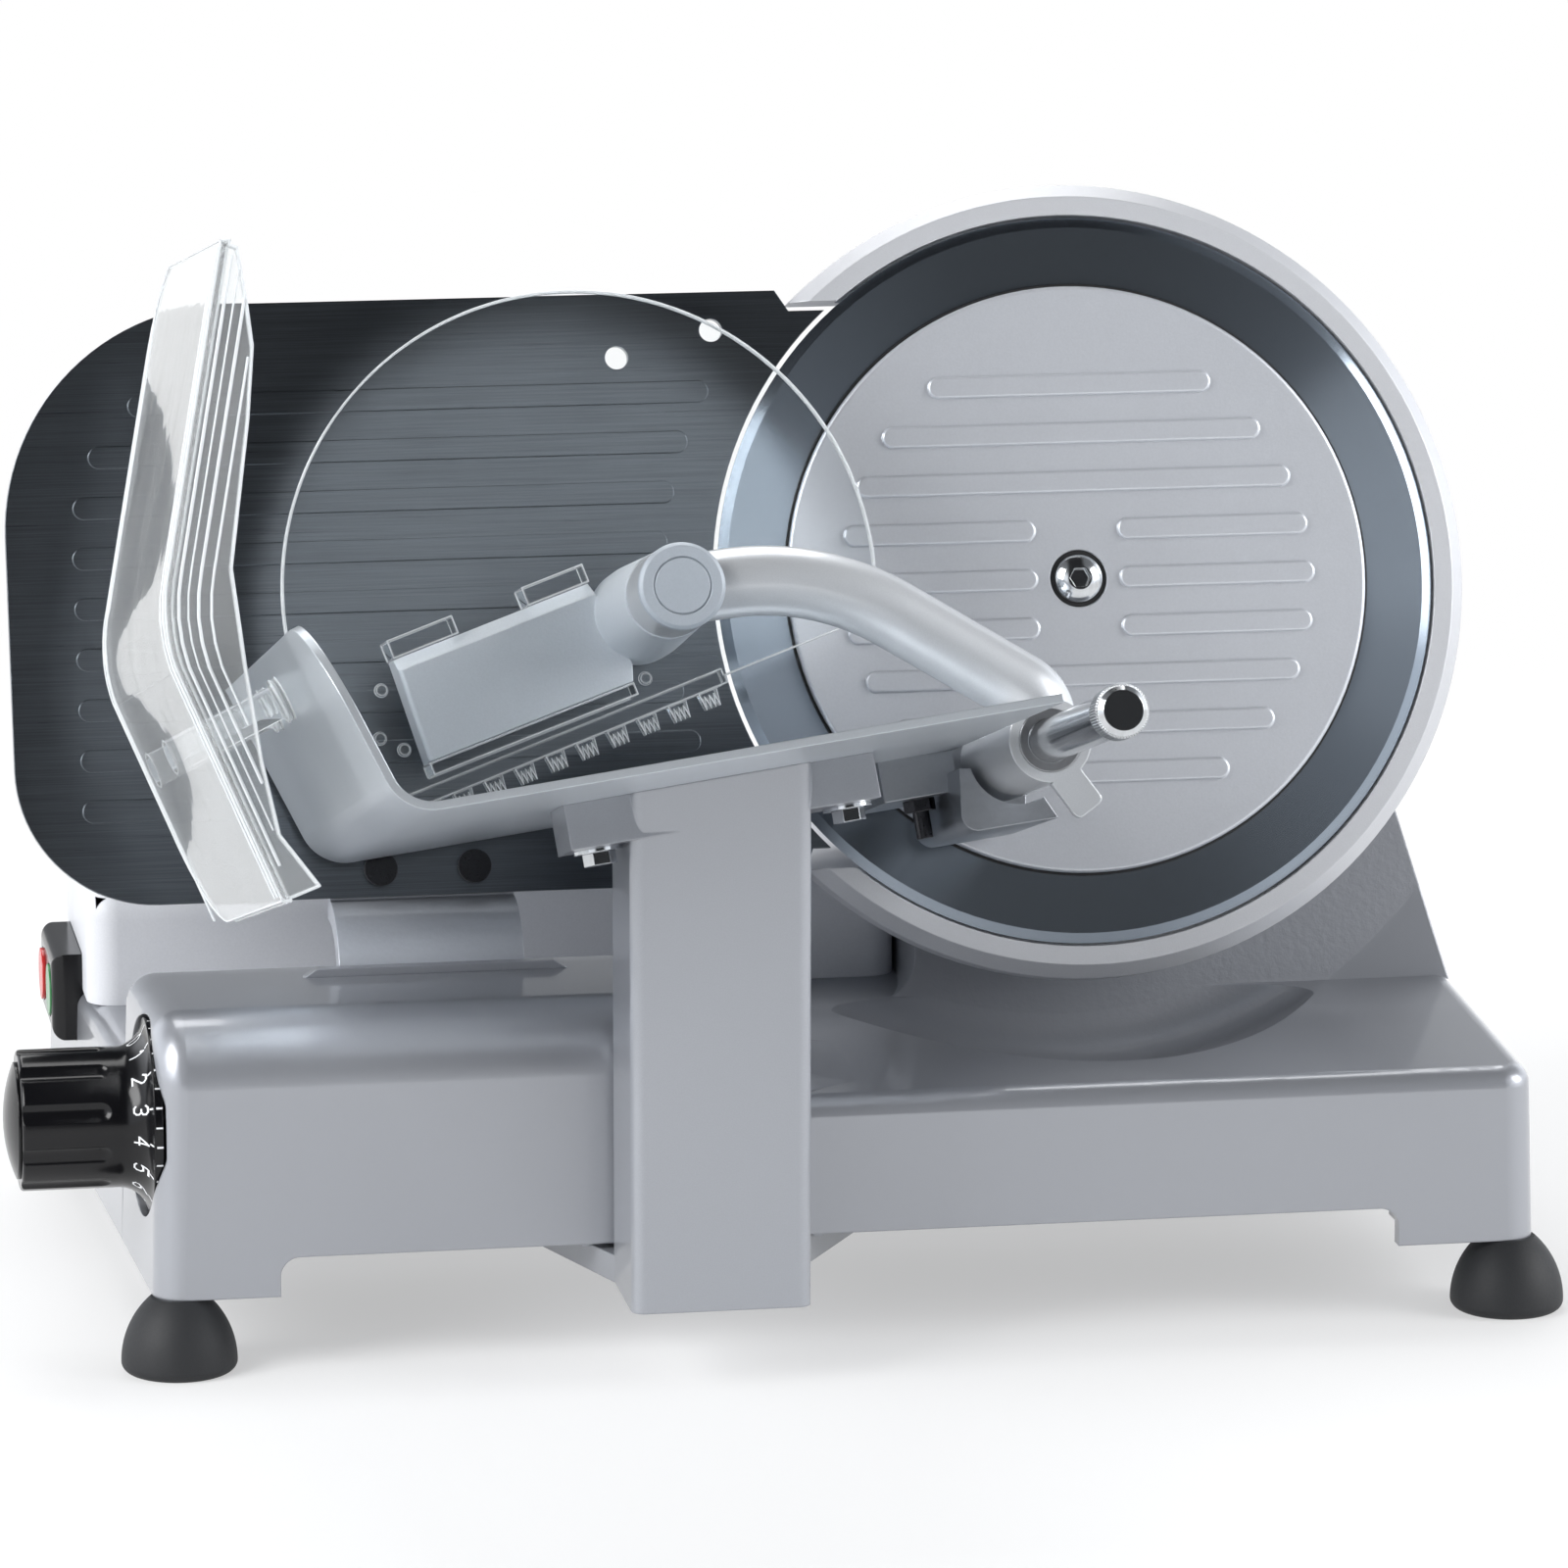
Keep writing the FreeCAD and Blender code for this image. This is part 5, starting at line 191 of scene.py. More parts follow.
class Finish(Nodes):
    """A material that is built from nodes."""

    def __init__(self, name, tint, **sockets):
        self.material = bpy.data.materials.new(name)
        self.material.use_nodes = True
        super().__init__(self.material.node_tree)
        self.shader = self.tree.nodes["Principled BSDF"]
        self.fill(self.shader, {"Base Color": (*tint, 1)})
        self.fill(self.shader, {key.replace("_", " "): sockets[key] for key in sockets})

    def place(self, stretch=(1, 1, 1), start=(0, 0, 0)):
        """Object coordinates, stretched and moved."""
        here = self.add("TexCoord", {}, out="Object")
        return self.add("Mapping", {"Vector": here, "Location": start, "Scale": stretch})

    def noise(self, scale, place=None, detail=3, rough=0.55):
        return self.add("TexNoise", {
            "Vector": place or self.place(), "Scale": scale, "Detail": detail,
            "Roughness": rough})

    def between(self, value, low, high):
        """A value from 0 to 1 is taken to low to high."""
        return self.add("MapRange", {"Value": value, "To Min": low, "To Max": high})

    def tone(self, value, dark, light, tint):
        """The base colour runs from a darker to a lighter copy of the tint."""
        mixed = self.add("Mix", {
            "Factor": value, "A": (*[part * dark for part in tint], 1),
            "B": (*[min(1, part * light) for part in tint], 1)}, out="Result",
            data_type="RGBA")
        self.fill(self.shader, {"Base Color": mixed})

    def bump(self, value, depth, strength=1.0, under=None):
        """Raise the surface by a depth, over another normal where one is given."""
        values = {"Height": value, "Distance": depth, "Strength": strength}
        if under:
            values["Normal"] = under
        made = self.add("Bump", values)
        self.fill(self.shader, {"Normal": made})
        return made

    def reach(self, centre, axis):
        """Distance from a line, how far along it a point lies, and the turn about it."""
        here = self.place(start=[-part for part in centre])
        along = self.add("VectorMath", {0: here, 1: axis}, out="Value", operation="DOT_PRODUCT")
        across = self.add("VectorMath", {0: here, 1: axis}, operation="CROSS_PRODUCT")
        return self.add("VectorMath", {0: across}, out="Value", operation="LENGTH"), along, across

    def grain(self, way):
        """Reflections spread along a direction of the object, across its brush lines."""
        turned = self.add("VectorTransform", {"Vector": way}, vector_type="VECTOR",
                          convert_from="OBJECT", convert_to="WORLD")
        self.fill(self.shader, {"Tangent": turned})

    def soft_edge(self, radius):
        """Round the edges by a radius and give that normal."""
        made = self.add("Bevel", {"Radius": radius}, samples=6)
        self.fill(self.shader, {"Normal": made})
        return made


def painted_metal(name, tint, edge=0.0008, cast=False):
    """Metal paint with fine flakes; a casting is grained where the blade's room is cut, and darkened there as
    painted shade of that recess.
    """
    made = Finish(name, tint, Metallic=0.55, Roughness=0.38, Coat_Weight=0.6, Coat_Roughness=0.07)
    flakes = made.noise(2600, detail=1)
    made.tone(flakes, 0.93, 1.05, tint)
    if not cast:
        made.bump(flakes, 0.00001, under=made.soft_edge(edge))
        return made.material
    away, _, _ = made.reach(blade_centre, blade_out)
    inside = made.step(away, blade_room + blade_room_edge, blade_room)
    above = made.step(made.parts(made.place())[2], deck_top, deck_top + deck_fade)
    rough = made.math("MULTIPLY", inside, made.math("MAXIMUM", above, deck_grain_and_shade))
    pits = made.noise(420, detail=3, rough=0.6)
    height = made.add("Mix", {"Factor": rough, "A": made.between(flakes, 0.45, 0.55), "B": pits},
                      out="Result", data_type="FLOAT")
    made.fill(made.shader, {"Coat Weight": made.between(rough, 0.7, 0.12),
                            "Roughness": made.between(rough, 0.34, 0.5)})
    # Painted shade: the grained recess takes a darker copy of the tint, 0.86 of it
    dark = made.add("Mix", {"Factor": rough, "A": (*tint, 1),
                            "B": (*[part * 0.86 for part in tint], 1)},
                    out="Result", data_type="RGBA")
    made.fill(made.shader, {"Base Color": dark})
    made.bump(height, 0.00022, strength=made.between(rough, 0.05, 0.6),
              under=made.soft_edge(edge))
    return made.material


def brushed(name, tint, rough=0.3, lines=3200, turned=0.6, spread=(0.55, 1.45)):
    """Metal brushed along X, so that its reflections spread up and down the plate."""
    made = Finish(name, tint, Metallic=1.0, Roughness=rough, Anisotropic=turned)
    streaks = made.noise(lines, made.place(stretch=(0.008, 1, 1)), detail=2)
    clouds = made.noise(34, detail=2)
    level = made.math("ADD", made.math("MULTIPLY", streaks, 0.8),
                      made.math("MULTIPLY", clouds, 0.2))
    made.tone(level, *spread, tint)
    made.fill(made.shader, {"Roughness": made.between(streaks, rough * 0.8, rough * 1.25)})
    made.grain(blade_up)
    made.bump(streaks, 0.000012, under=made.soft_edge(0.0004))
    return made.material


def turned_steel(name, tint):
    """Blade steel with fine lines turned about the blade's axis."""
    made = Finish(name, tint, Metallic=1.0, Roughness=0.22, Anisotropic=0.98)
    away, _, across = made.reach(blade_centre, blade_out)
    way = made.add("VectorMath", {0: blade_out, 1: across}, operation="CROSS_PRODUCT")
    made.grain(made.add("VectorMath", {0: way}, operation="NORMALIZE"))
    rings = made.add("TexNoise", {"W": made.math("MULTIPLY", away, 5200.0), "Scale": 1.0,
                                  "Detail": 2.0}, noise_dimensions="1D")
    made.tone(rings, 0.86, 1.12, tint)
    made.fill(made.shader, {"Roughness": made.between(rings, 0.20, 0.25)})
    made.bump(rings, 0.000004)
    return made.material


def satin_metal(name, tint, rough=0.36, grains=1500, depth=0.00002, metal=1.0):
    """Sheet with a fine, even, directionless satin."""
    made = Finish(name, tint, Metallic=metal, Roughness=rough)
    specks = made.noise(grains, detail=3)
    clouds = made.noise(22, detail=2)
    made.tone(made.math("ADD", made.math("MULTIPLY", specks, 0.6),
                        made.math("MULTIPLY", clouds, 0.4)), 0.9, 1.09, tint)
    made.fill(made.shader, {"Roughness": made.between(specks, rough * 0.85, rough * 1.2)})
    made.bump(specks, depth, under=made.soft_edge(0.0005))
    return made.material


def moulded(name, tint, rough=0.4, grains=1800, depth=0.00002, edge=0.0006, **sockets):
    """Moulded plastic or rubber with a fine grain and soft edges."""
    made = Finish(name, tint, Roughness=rough, **sockets)
    specks = made.noise(grains, detail=2)
    made.tone(specks, 0.94, 1.06, tint)
    made.fill(made.shader, {"Roughness": made.between(specks, rough * 0.9, rough * 1.15)})
    made.bump(specks, depth, under=made.soft_edge(edge))
    return made.material


def clear_plastic(name, tint, pale=0.0, edge=0.0012):
    """Clear plastic that is less clear along its edges, a painted highlight of the light it gathers there; pale
    makes it a little milky.
    """
    made = Finish(name, tint, Roughness=0.03, IOR=1.22)
    # Painted highlight: less transmission where the rounded normal turns from the flat one, so the edges show pale
    rounded = made.add("Bevel", {"Radius": edge}, samples=8)
    flat = made.add("NewGeometry", {}, out="Normal")
    alike = made.add("VectorMath", {0: rounded, 1: flat}, out="Value", operation="DOT_PRODUCT")
    painted_edge_highlight = made.step(alike, 0.995, 0.90)
    ripple = made.noise(46, made.place(stretch=(1, 1, 0.25)), detail=2)
    haze = made.math("MULTIPLY", made.between(ripple, 0.5, 1.5), pale)
    made.fill(made.shader, {
        "Transmission Weight": made.math("SUBTRACT", made.math("SUBTRACT", 1.0, haze),
                                         made.math("MULTIPLY", painted_edge_highlight, 0.55)),
        "Roughness": made.between(made.noise(60), 0.01, 0.05)})
    made.bump(ripple, 0.0002, strength=0.35)
    return made.material


def rod_steel(name, tint):
    """Polished bar with fine lengthwise drawing lines and straight knurls at its end."""
    made = Finish(name, tint, Metallic=1.0, Roughness=0.14)
    away, out, across = made.reach(rod_axis, blade_out)
    side = made.add("VectorMath", {0: across, 1: blade_right}, out="Value",
                    operation="DOT_PRODUCT")
    rise = made.add("VectorMath", {0: across, 1: blade_up}, out="Value", operation="DOT_PRODUCT")
    angle = made.math("ARCTAN2", rise, side)
    teeth = made.math("SINE", made.math("MULTIPLY", angle, float(knurl_teeth)))
    at_end = made.step(out, knurl_start, knurl_start + knurl_fade)
    at_rim = made.step(away, knurl_radius, knurl_radius + knurl_depth)
    rim = made.math("MULTIPLY", at_end, at_rim)
    height = made.math("MULTIPLY", rim, teeth)
    lines = made.noise(900, made.place(stretch=(1, 0.05, 0.2)), detail=1)
    made.tone(lines, 0.9, 1.08, tint)
    made.fill(made.shader, {"Roughness": made.between(rim, 0.13, 0.3)})
    made.bump(height, 0.0002, under=made.soft_edge(0.0003))
    return made.material


def dress(names, material):
    """Give CAD nodes a material."""
    for name in names:
        slots = nodes[name].data.materials
        slots.clear()
        slots.append(material)


# Floor: it fades into the white backdrop from near to far
floor_radius = 30
floor_near = 0.30
floor_far = 1.1
floor_glow = 0.45

# Light that the world gives from the sides, from behind, from above and all round
side_wall = 1.25
back_wall = 0.32
ceiling = 0.15
all_round = 0.03

# Where the lamps point, and each lamp's place, width and power in watts
lamp_aim = Vector((0, 0, 0.15))
lamps = (("key_left", (-2.1, -1.0, 1.5), 1.5, 62),
         ("fill_right", (2.2, -0.8, 1.1), 1.3, 38),
         ("top", (0.0, 1.3, 2.0), 1.6, 30))


def make_floor(scene):
    """Floor that fades into the white backdrop."""
    made = bmesh.new()
    bmesh.ops.create_circle(made, cap_ends=True, segments=96, radius=floor_radius)
    mesh = bpy.data.meshes.new("floor")
    made.to_mesh(mesh)
    made.free()
    floor = bpy.data.objects.new("floor", mesh)
    scene.collection.objects.link(floor)
    pale = Finish("floor_paper", (0.86, 0.86, 0.86), Roughness=0.9)
    spread = pale.add("VectorMath", {0: pale.place()}, out="Value", operation="LENGTH")
    fade = pale.step(spread, floor_near, floor_far, floor_glow)
    seen = pale.add("LightPath", {}, out="Is Camera Ray")
    mirrored = pale.add("LightPath", {}, out="Is Glossy Ray")
    through = pale.add("LightPath", {}, out="Is Transmission Ray")
    either = pale.math("MAXIMUM", pale.math("MAXIMUM", seen, mirrored), through)
    share = pale.math("MULTIPLY", either, fade)
    white = pale.add("Emission", {"Color": (1, 1, 1, 1), "Strength": 1.0})
    both = pale.add("MixShader", {"Fac": share, 1: pale.shader.outputs[0], 2: white})
    pale.fill(pale.tree.nodes["Material Output"], {"Surface": both})
    floor.data.materials.append(pale.material)


def make_world(scene):
    """Backdrop that is white where it is seen, and gives light by its direction."""
    world = bpy.data.worlds.new("studio")
    scene.world = world
    world.use_nodes = True
    world.node_tree.nodes.clear()
    sky = Nodes(world.node_tree)
    parts = sky.parts(sky.add("TexCoord", {}, out="Generated"))
    # Bright at both sides, dimmer behind, dark in front, and less of it high up
    aside = sky.step(sky.math("ABSOLUTE", parts[0]), 0.26, 0.5)
    behind = sky.step(parts[1], -0.2, 0.5)
    low = sky.step(parts[2], 0.35, 0.7, 1.0, ceiling)
    walls = sky.math("ADD", sky.math("MULTIPLY", aside, side_wall),
                     sky.math("MULTIPLY", behind, back_wall))
    level = sky.math("ADD", sky.math("MULTIPLY", walls, low), all_round)
    light = sky.add("Background", {"Color": (0.92, 0.95, 1.0, 1), "Strength": level})
    white = sky.add("Background", {"Color": (1, 1, 1, 1), "Strength": 1.0})
    seen = sky.add("LightPath", {}, out="Is Camera Ray")
    through = sky.add("LightPath", {}, out="Is Transmission Ray")
    both = sky.add("MixShader", {"Fac": sky.math("MAXIMUM", seen, through), 1: light, 2: white})
    sky.fill(world.node_tree.nodes.new("ShaderNodeOutputWorld"), {"Surface": both})


def make_lamps(scene):
    """Soft square lamps at both sides and above."""
    for name, place, size, power in lamps:
        lamp = bpy.data.lights.new(name, "AREA")
        lamp.shape = "SQUARE"
        lamp.size = size
        lamp.energy = power
        holder = bpy.data.objects.new(name, lamp)
        holder.location = place
        aim = lamp_aim - Vector(place)
        holder.rotation_euler = aim.to_track_quat("-Z", "Y").to_euler()
        scene.collection.objects.link(holder)


def make_camera(scene, sizes):
    """Camera that shows the blade's centre where the photograph does."""
    lens = bpy.data.cameras.new("camera")
    lens.lens = sizes.camera_lens
    camera = bpy.data.objects.new("camera", lens)
    turn, lift = sizes.camera_azimuth, sizes.camera_elevation
    ahead = Vector((math.sin(turn) * math.cos(lift), math.cos(turn) * math.cos(lift),
                    -math.sin(lift)))
    aside = Vector((math.cos(turn), -math.sin(turn), 0))
    above = aside.cross(ahead)
    focal = sizes.camera_lens / lens.sensor_width * picture
    camera.location = blade_centre - sizes.camera_distance * (
        ahead + aside * sizes.blade_across / focal + above * sizes.blade_above / focal)
    camera.rotation_euler = ahead.to_track_quat("-Z", "Y").to_euler()
    lens.clip_end = 100
    scene.collection.objects.link(camera)
    scene.camera = camera


class SLICER_OT_stage(Operator):
    """Make the floor, the lights and the camera"""

    bl_idname = "slicer.stage"
    bl_label = "Stage"

    def execute(self, context):
        scene = context.scene
        scene.view_settings.view_transform = "Standard"
        make_floor(scene)
        make_world(scene)
        make_lamps(scene)
        make_camera(scene, scene.slicer_sizes)
        return {"FINISHED"}


class SLICER_OT_finishes(Operator):
    """Give every solid its finish"""

    bl_idname = "slicer.finishes"
    bl_label = "Finishes"

    def execute(self, context):
        tints = context.scene.slicer_colours
        finishes = {
            "casting": painted_metal("casting_paint", tints.paint, cast=True),
            "ring_cast": satin_metal("ring_cast", tints.ring, 0.46, 2400, 0.00004, 0.55),
            "blade_steel": turned_steel("blade_steel", tints.blade),
            "bright_steel": rod_steel("bright_steel", tints.bright),
            "brushed": brushed("brushed_steel", tints.gauge),
            "disc_metal": satin_metal("disc_metal", tints.disc, 0.38, 1300, 0.00003, 0.6),
            "tray_metal": satin_metal("tray_metal", tints.tray, 0.33, 2600, 0.000012, 0.7),
            "grey_paint": painted_metal("grey_paint", tints.post),
            "silver_paint": painted_metal("silver_paint", tints.arm),
            "grey_plastic": moulded("grey_plastic", tints.grip, 0.42, 1500, 0.00005,
                                    Metallic=0.25),
            "cover_plastic": moulded("cover_plastic", tints.cover, 0.45),
            "clear": clear_plastic("clear_plastic", tints.clear),
            "black_plastic": moulded("black_plastic", tints.black, 0.16, 700, 0.000005,
                                     Specular_IOR_Level=0.35),
            "dark_screw": satin_metal("dark_screw", tints.dark, 0.28, 1600, 0.00001),
            "rubber": moulded("rubber", tints.rubber, 0.6, 1200, 0.00004),
            "plain_steel": satin_metal("plain_steel", tints.steel, 0.3, 1800, 0.00001),
            "bearing_bronze": satin_metal("bearing_bronze", tints.bronze, 0.35, 1800, 0.00002),
            "slide_plastic": moulded("slide_plastic", tints.slide, 0.38),
            "motor_paint": painted_metal("motor_paint", tints.motor),
            "board_green": moulded("board_green", tints.board, 0.35),
            "red_key": moulded("red_key", tints.stop, 0.22, 1600, 0.000008),
            "green_key": moulded("green_key", tints.start, 0.22, 1600, 0.000008),
        }
        for row in frame["record"]["subparts"]:
            dress([row["node"]], finishes[row["material_slot"]])
        dress(["rod_bracket"], satin_metal("bracket_steel", tints.bracket, 0.34, 900, 0.00003))
        dress(["hand_guard"], clear_plastic("guard_plastic", tints.clear, 0.13, 0.0016))
        dress(["sleeve_liner"], satin_metal("liner_steel", tints.steel, 0.3, 900, 0.00002))
        dress(["pusher_hub_cap"], moulded("cap_plastic", tints.cap, 0.42, 1500, 0.00005,
                                          Metallic=0.25))
        dress(["gauge_carrier"], satin_metal("carrier_metal", tints.carrier, 0.4, 700, 0.00006,
                                             0.6))
        return {"FINISHED"}


# Making fine pieces


ribbon_parts = 4        # lengths that a printed line is divided into
ribbon_end = 0.8        # how far it runs past its points, in half widths


class Piece:
    """A fine piece that is built in a bmesh and rides on a body."""

    def __init__(self, name, body, material, slot=None):
        self.name, self.body, self.material, self.slot = name, body, material, slot
        self.made = bmesh.new()

    def rod(self, start, end, radius, tip=None, segments=32):
        """A straight rod, which tapers where its tip has another radius."""
        run = Vector(end) - Vector(start)
        where = (Matrix.Translation((Vector(start) + Vector(end)) / 2)
                 @ run.to_track_quat("Z", "Y").to_matrix().to_4x4())
        bmesh.ops.create_cone(self.made, cap_ends=True, segments=segments, radius1=radius,
                              radius2=radius if tip is None else tip, depth=run.length,
                              matrix=where)

    def bead(self, points, radius, segments=10):
        """A thin round bead through points: a ring that is extruded from one to the next."""
        points = [Vector(point) for point in points]
        frames = []
        for index, point in enumerate(points):
            before, after = points[max(index - 1, 0)], points[min(index + 1, len(points) - 1)]
            turn = (after - before).to_track_quat("Z", "X").to_matrix().to_4x4()
            frames.append(Matrix.Translation(point) @ turn)
        ring = bmesh.ops.create_circle(self.made, cap_ends=True, segments=segments,
                                       radius=radius, matrix=frames[0])["verts"]
        edges = list(dict.fromkeys(edge for vert in ring for edge in vert.link_edges))
        for first, second in zip(frames, frames[1:]):
            grown = bmesh.ops.extrude_edge_only(self.made, edges=edges)["geom"]
            ring = [part for part in grown if isinstance(part, bmesh.types.BMVert)]
            edges = [part for part in grown if isinstance(part, bmesh.types.BMEdge)
                     and part.verts[0] in ring and part.verts[1] in ring]
            bmesh.ops.transform(self.made, matrix=second @ first.inverted(), verts=ring)
        bmesh.ops.contextual_create(self.made, geom=edges)

    def ribbon(self, points, width, onto):
        """A flat printed line through points of a plane that onto lays on a surface."""
        for start, end in zip(points, points[1:]):
            start, end = Vector(start), Vector(end)
            way = (end - start).normalized() * width / 2
            side = Vector((-way.y, way.x))
            start, end = start - way * ribbon_end, end + way * ribbon_end
            strip = bmesh.ops.create_grid(self.made, x_segments=ribbon_parts, y_segments=1,
                                          size=1)["verts"]
            for vert in strip:
                middle = start.lerp(end, (vert.co.x + 1) / 2)
                vert.co = onto(*(middle + side * vert.co.y))

    def ring(self, centre, axis, inner, outer, low, high, segments=160):
        """A flat ring about an axis, from inner to outer radius and low to high."""
        turn = Vector(axis).to_track_quat("Z", "Y").to_matrix().to_4x4()
        profile = [(inner, low), (outer, low), (outer, high), (inner, high)]
        where = Matrix.Translation(centre) @ turn
        corners = [self.made.verts.new(where @ Vector((radius, 0, level)))
                   for radius, level in profile]
        edges = [self.made.edges.new((corners[index - 1], corners[index]))
                 for index in range(4)]
        bmesh.ops.spin(self.made, geom=corners + edges, cent=centre, axis=Vector(axis),
                       angle=math.tau, steps=segments, use_merge=True)

    def finish(self, smooth=math.radians(40)):
        """Close the mesh, shade it smooth below an angle, and let it ride on its body."""
        bmesh.ops.remove_doubles(self.made, verts=self.made.verts, dist=1e-7)
        bmesh.ops.recalc_face_normals(self.made, faces=self.made.faces)
        for face in self.made.faces:
            face.smooth = True
        for edge in self.made.edges:
            if len(edge.link_faces) == 2 and edge.calc_face_angle() > smooth:
                edge.smooth = False
        mesh = bpy.data.meshes.new(self.name)
        self.made.to_mesh(mesh)
        self.made.free()
        made = bpy.data.objects.new(self.name, mesh)
        bpy.context.scene.collection.objects.link(made)
        mesh.materials.append(self.material)
        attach(made, self.body)
        return made


# Plain digits 4 wide and 6 high, each one line through points
DIGITS = (
    ((0, 1.2), (0, 4.8), (1.2, 6), (2.8, 6), (4, 4.8), (4, 1.2), (2.8, 0), (1.2, 0), (0, 1.2)),
    ((0.9, 4.8), (2.4, 6), (2.4, 0)),
    ((0, 4.8), (1, 6), (3, 6), (4, 5), (4, 4), (0, 0), (4, 0)),
    ((0, 5.2), (1, 6), (3, 6), (4, 5.2), (4, 4), (3, 3.2), (1.6, 3.2), (3, 3.2), (4, 2.2),
     (4, 1), (3, 0), (1, 0), (0, 0.8)),
    ((3, 0), (3, 6), (0, 2), (4, 2)),
    ((4, 6), (0.5, 6), (0.1, 3.2), (1.2, 3.8), (3, 3.8), (4, 2.7), (4, 1.1), (3, 0), (1, 0),
     (0, 0.8)),
    ((3.6, 6), (1.5, 4.6), (0, 2.6), (0, 1.1), (1, 0), (3, 0), (4, 1.1), (4, 2.4), (3, 3.4),
     (1, 3.4), (0, 2.4)),
    ((0, 6), (4, 6), (1.5, 0)),
    ((1, 3.2), (0, 4.1), (0, 5), (1, 6), (3, 6), (4, 5), (4, 4.1), (3, 3.2), (1, 3.2),
     (0, 2.2), (0, 1), (1, 0), (3, 0), (4, 1), (4, 2.2), (3, 3.2)),
    ((0.4, 0), (2.5, 1.4), (4, 3.4), (4, 4.9), (3, 6), (1, 6), (0, 4.9), (0, 3.6), (1, 2.6),
     (3, 2.6), (4, 3.6)),
)


# Dial: an edge that is straight beside the wall, and a flare hollowed by an arc
dial_radius = 0.0284
dial_edge = 0.0025
flare_bend = 0.009
flare_middle = -0.00894
flare_middle_radius = 0.02947
ink_height = 0.00006

# Print of the dial: numbers start below the axis's front and run round it
dial_last = 12
dial_step = math.radians(23.1)
dial_first = math.radians(-87.2)
print_radius = 0.0235
digit_scale = 0.00062
digit_pitch = 5.2
digit_gap = 1.2
digit_foot = -0.0052
long_mark = -0.0009
short_mark = 0.0006
mark_end = 0.0022
mark_width = 0.0005
short_mark_width = 0.0004


class SLICER_OT_dial_marks(Operator):
    """Print the numbers and lines round the thickness dial"""

    bl_idname = "slicer.dial_marks"
    bl_label = "Dial marks"

    def execute(self, context):
        ink = moulded("dial_print", context.scene.slicer_colours.print, 0.4)
        marks = Piece("dial_marks", "knob_unit", ink)
        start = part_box("thickness_knob")[1][0] - dial_edge
        middle = start + flare_middle

        def laid(turn):
            def onto(x, aside):
                """x runs towards the wall and aside runs down round the dial."""
                here = start + x
                radius = dial_radius
                if x <= 0:
                    rise = max(flare_bend ** 2 - (here - middle) ** 2, 0)
                    radius = flare_middle_radius - math.sqrt(rise)
                radius += ink_height
                angle = turn + aside / print_radius
                return Vector((here, knob_axis.y - radius * math.cos(angle),
                               knob_axis.z - radius * math.sin(angle)))
            return onto

        for number in range(dial_last + 1):
            turn = dial_first + dial_step * number
            text = [int(sign) for sign in str(number)]
            wide = (len(text) * digit_pitch - digit_gap) * digit_scale
            for place, sign in enumerate(text):
                shift = place * digit_pitch * digit_scale - wide / 2
                line = [(y * digit_scale + digit_foot, x * digit_scale + shift)
                        for x, y in DIGITS[sign]]
                marks.ribbon(line, mark_width, laid(turn))
            marks.ribbon([(long_mark, 0), (mark_end, 0)], mark_width, laid(turn))
            if number < dial_last:
                marks.ribbon([(short_mark, 0), (mark_end, 0)], short_mark_width,
                             laid(turn + dial_step / 2))
        marks.finish()
        return {"FINISHED"}


# Inner and outer radius of each dark ring of painted shade, in the gaps round the disc and its screw, and how far
# out it starts and ends
disc_gap_shade, disc_gap_shade_out = (0.0875, 0.0897), (0.00005, 0.00045)
screw_gap_shade, screw_gap_shade_out = (0.0072, 0.0086), (0.00192, 0.002)


class SLICER_OT_seals(Operator):
    """Make the dark rings of painted shade in the gaps round the disc and its screw"""

    bl_idname = "slicer.seals"
    bl_label = "Seams"

    def execute(self, context):
        # Painted shade: dark rings where the gaps round the disc and its screw fall in shade
        dark = moulded("painted_gap_shade", context.scene.slicer_colours.black, 0.6)
        gap_shade = Piece("disc_gap_shade", "base", dark, "black_plastic")
        gap_shade.ring(blade_centre, blade_out, *disc_gap_shade, *disc_gap_shade_out)
        gap_shade.ring(blade_centre, blade_out, *screw_gap_shade, *screw_gap_shade_out, 64)
        gap_shade.finish()
        return {"FINISHED"}


def edge_beads(name, node, body, radius, material, sharp=math.radians(35)):
    """Thin bright beads along the sharp edges of a clear solid: painted highlights where it gathers light."""
    shape = bmesh.new()
    shape.from_mesh(nodes[node].data)
    bmesh.ops.remove_doubles(shape, verts=shape.verts, dist=1e-6)
    beads = Piece(name, body, material, "clear")
    for edge in shape.edges:
        if len(edge.link_faces) == 2 and edge.calc_face_angle(0) > sharp:
            start, end = (vert.co.copy() for vert in edge.verts)
            if (end - start).length > 1e-5:
                beads.rod(start, end, radius, segments=6)
    shape.free()
    return beads.finish()


# The guard's left face from its low end up, across and up from the blade's centre, its back
# and front out from the blade, how far it slants aside between them, and its top
guard_run = ((-271.8, -99), (-298.1, -34.5), (-299.7, -27.8), (-300.4, -21.1),
             (-300.1, -14.4), (-299, -7.7), (-279.5, 90))
guard_back = 75
guard_front = 190
guard_slant = 8
guard_top = 82

# Painted highlight lines on the wall, out from the blade, and on the flange, aside from the wall, each
# with its radius in metres; the flange's also start above the low end and stop at a height
wall_highlight_lines = ((186.5, 0.00055), (181.5, 0.0004), (78.5, 0.0004))
flange_highlight_lines = ((3.6, 0.0005, 0.15, 78), (6.2, 0.0003, 0.3, 74), (9.0, 0.0005, 0.5, 66),
                    (12.5, 0.0004, 0.75, 50))

# Painted highlight bead round the edge of the pusher's plate, across and up from the blade's centre
plate_x = -157
plate_up = -2
plate_radius = 87.7
plate_faces = (38.4, 40.6)
plate_start = math.radians(-8)
plate_sweep = math.radians(206)
plate_parts = 120
plate_bead = 0.00032

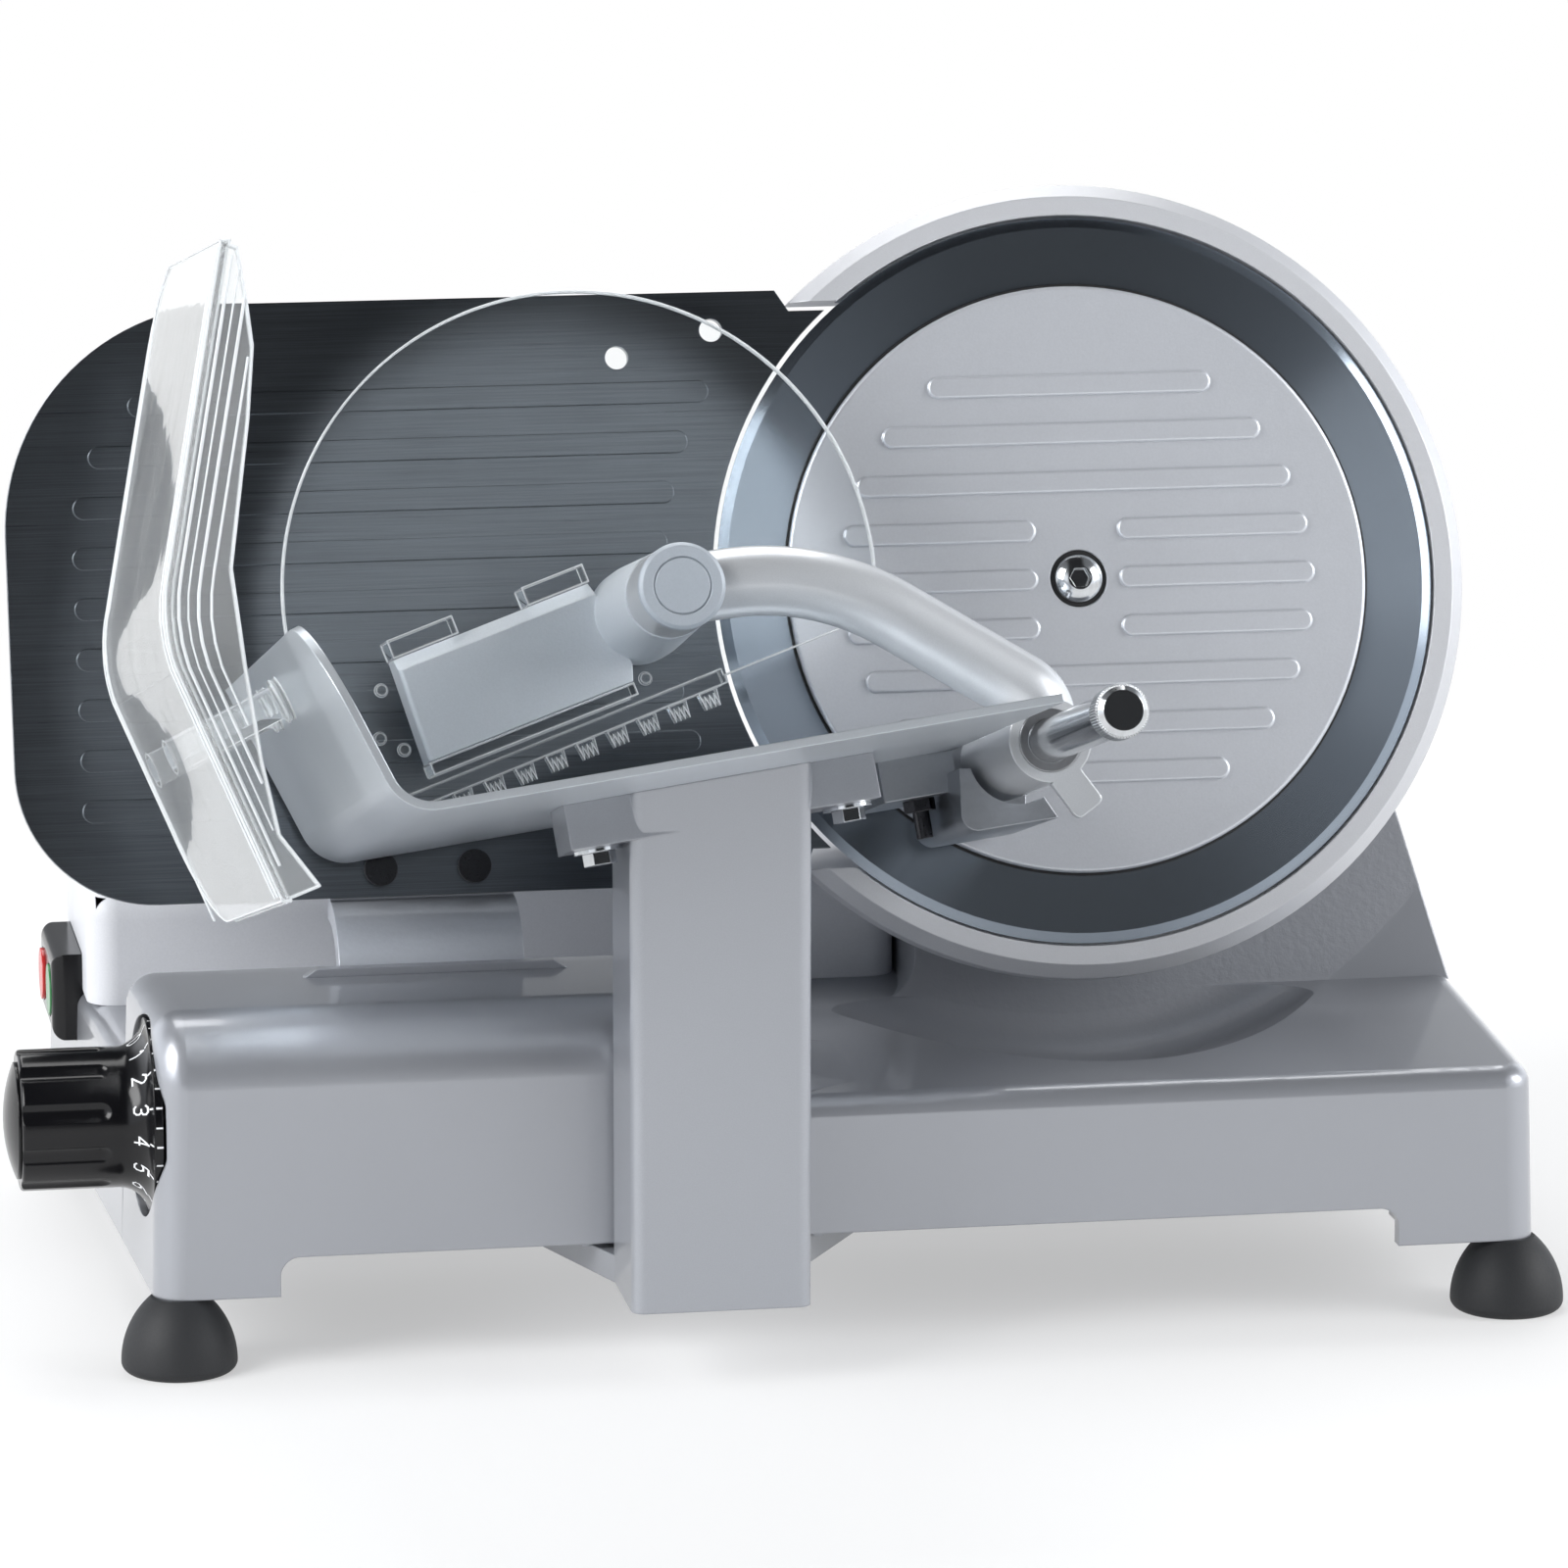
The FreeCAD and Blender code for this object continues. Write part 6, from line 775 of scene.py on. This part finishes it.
# Painted highlight beads along sharp edges: the guard's, the least angle that counts there, and the plate's
guard_bead = 0.00035
guard_sharp = math.radians(9)
plate_edge_bead = 0.00018

# Rivets and round lugs of that plate
lug_places = ((-218.2, -44.3), (-139.2, -29.2), (-217.2, -30.2), (-211.2, -47.8))
lug_out = 41.1
lug_height = 1.5
lug_radii = (0.0021, 0.0016)


def guard_line(out, aside, low_cut, top):
    """Points of a line that follows the guard upwards, out from the blade and aside."""
    aside += guard_slant * (out - guard_back) / (guard_front - guard_back)
    (low_x, low_up), (knee_x, knee_up) = guard_run[:2]
    points = [(low_x + (knee_x - low_x) * low_cut, low_up + (knee_up - low_up) * low_cut)]
    points += guard_run[1:-1]
    (waist_x, waist_up), (high_x, high_up) = guard_run[-2:]
    share = (top - waist_up) / (high_up - waist_up)
    points.append((waist_x + (high_x - waist_x) * share, top))
    return [blade_place(x + aside, up, out) for x, up in points]


class SLICER_OT_clear_details(Operator):
    """Make the painted highlights along the clear plastic's edges, and its rivets and lugs"""

    bl_idname = "slicer.clear_details"
    bl_label = "Clear details"

    def execute(self, context):
        tints = context.scene.slicer_colours
        clear = clear_plastic("clear_details", tints.clear)
        # Pale, half-clear finish of the painted highlight beads
        rim = Finish("clear_edge_highlight", tints.edge, Roughness=0.12, Transmission_Weight=0.35)
        rim.tone(rim.noise(300), 0.94, 1.0, tints.edge)
        # Painted highlight bead round the edge of the pusher's plate
        edge = Piece("plate_rim_highlight", "pusher_unit", rim.material, "clear")
        for out in plate_faces:
            points = []
            for part in range(plate_parts + 1):
                angle = plate_start + plate_sweep * part / plate_parts
                points.append(blade_place(plate_x + plate_radius * math.cos(angle),
                                          plate_up + plate_radius * math.sin(angle), out))
            edge.bead(points, plate_bead)
        edge.finish()
        edge_beads("guard_edge_highlights", "hand_guard", "carriage", guard_bead, rim.material,
                   guard_sharp)
        edge_beads("plate_edge_highlights", "pusher_plate", "pusher_unit", plate_edge_bead, rim.material)
        # Painted highlight lines on the guard's fold and flange
        fold_highlights = Piece("guard_highlight_lines", "carriage", rim.material, "clear")
        for out, radius in wall_highlight_lines:
            fold_highlights.bead(guard_line(out, -0.05, 0.02, guard_top - 1), radius)
        for aside, radius, low_cut, top in flange_highlight_lines:
            fold_highlights.bead(guard_line(guard_front, aside, low_cut, top), radius)
        fold_highlights.finish()
        # Rivets and round lugs of that plate
        lugs = Piece("plate_lugs", "pusher_unit", clear, "clear")
        for x, up in lug_places:
            lugs.rod(blade_place(x, up, lug_out), blade_place(x, up, lug_out + lug_height),
                     *lug_radii)
        lugs.finish()
        return {"FINISHED"}


class SLICER_PT_pieces(Panel):
    """Shows a button for each of the slicer's operators"""

    bl_label = "Food slicer"
    bl_space_type = "VIEW_3D"
    bl_region_type = "UI"
    bl_category = "Slicer"

    def draw(self, context):
        for operator in operators:
            self.layout.operator(operator.bl_idname)


operators = (SLICER_OT_finishes, SLICER_OT_dial_marks, SLICER_OT_seals,
             SLICER_OT_clear_details, SLICER_OT_stage)
classes = (SlicerColours, SlicerSizes, *operators, SLICER_PT_pieces)


def register():
    for made in classes:
        bpy.utils.register_class(made)
    bpy.types.Scene.slicer_colours = PointerProperty(type=SlicerColours)
    bpy.types.Scene.slicer_sizes = PointerProperty(type=SlicerSizes)


def unregister():
    del bpy.types.Scene.slicer_sizes
    del bpy.types.Scene.slicer_colours
    for made in reversed(classes):
        bpy.utils.unregister_class(made)


def main():
    register()
    for operator in operators:
        group, name = operator.bl_idname.split(".")
        getattr(getattr(bpy.ops, group), name)()


if __name__ == "__main__":
    main()
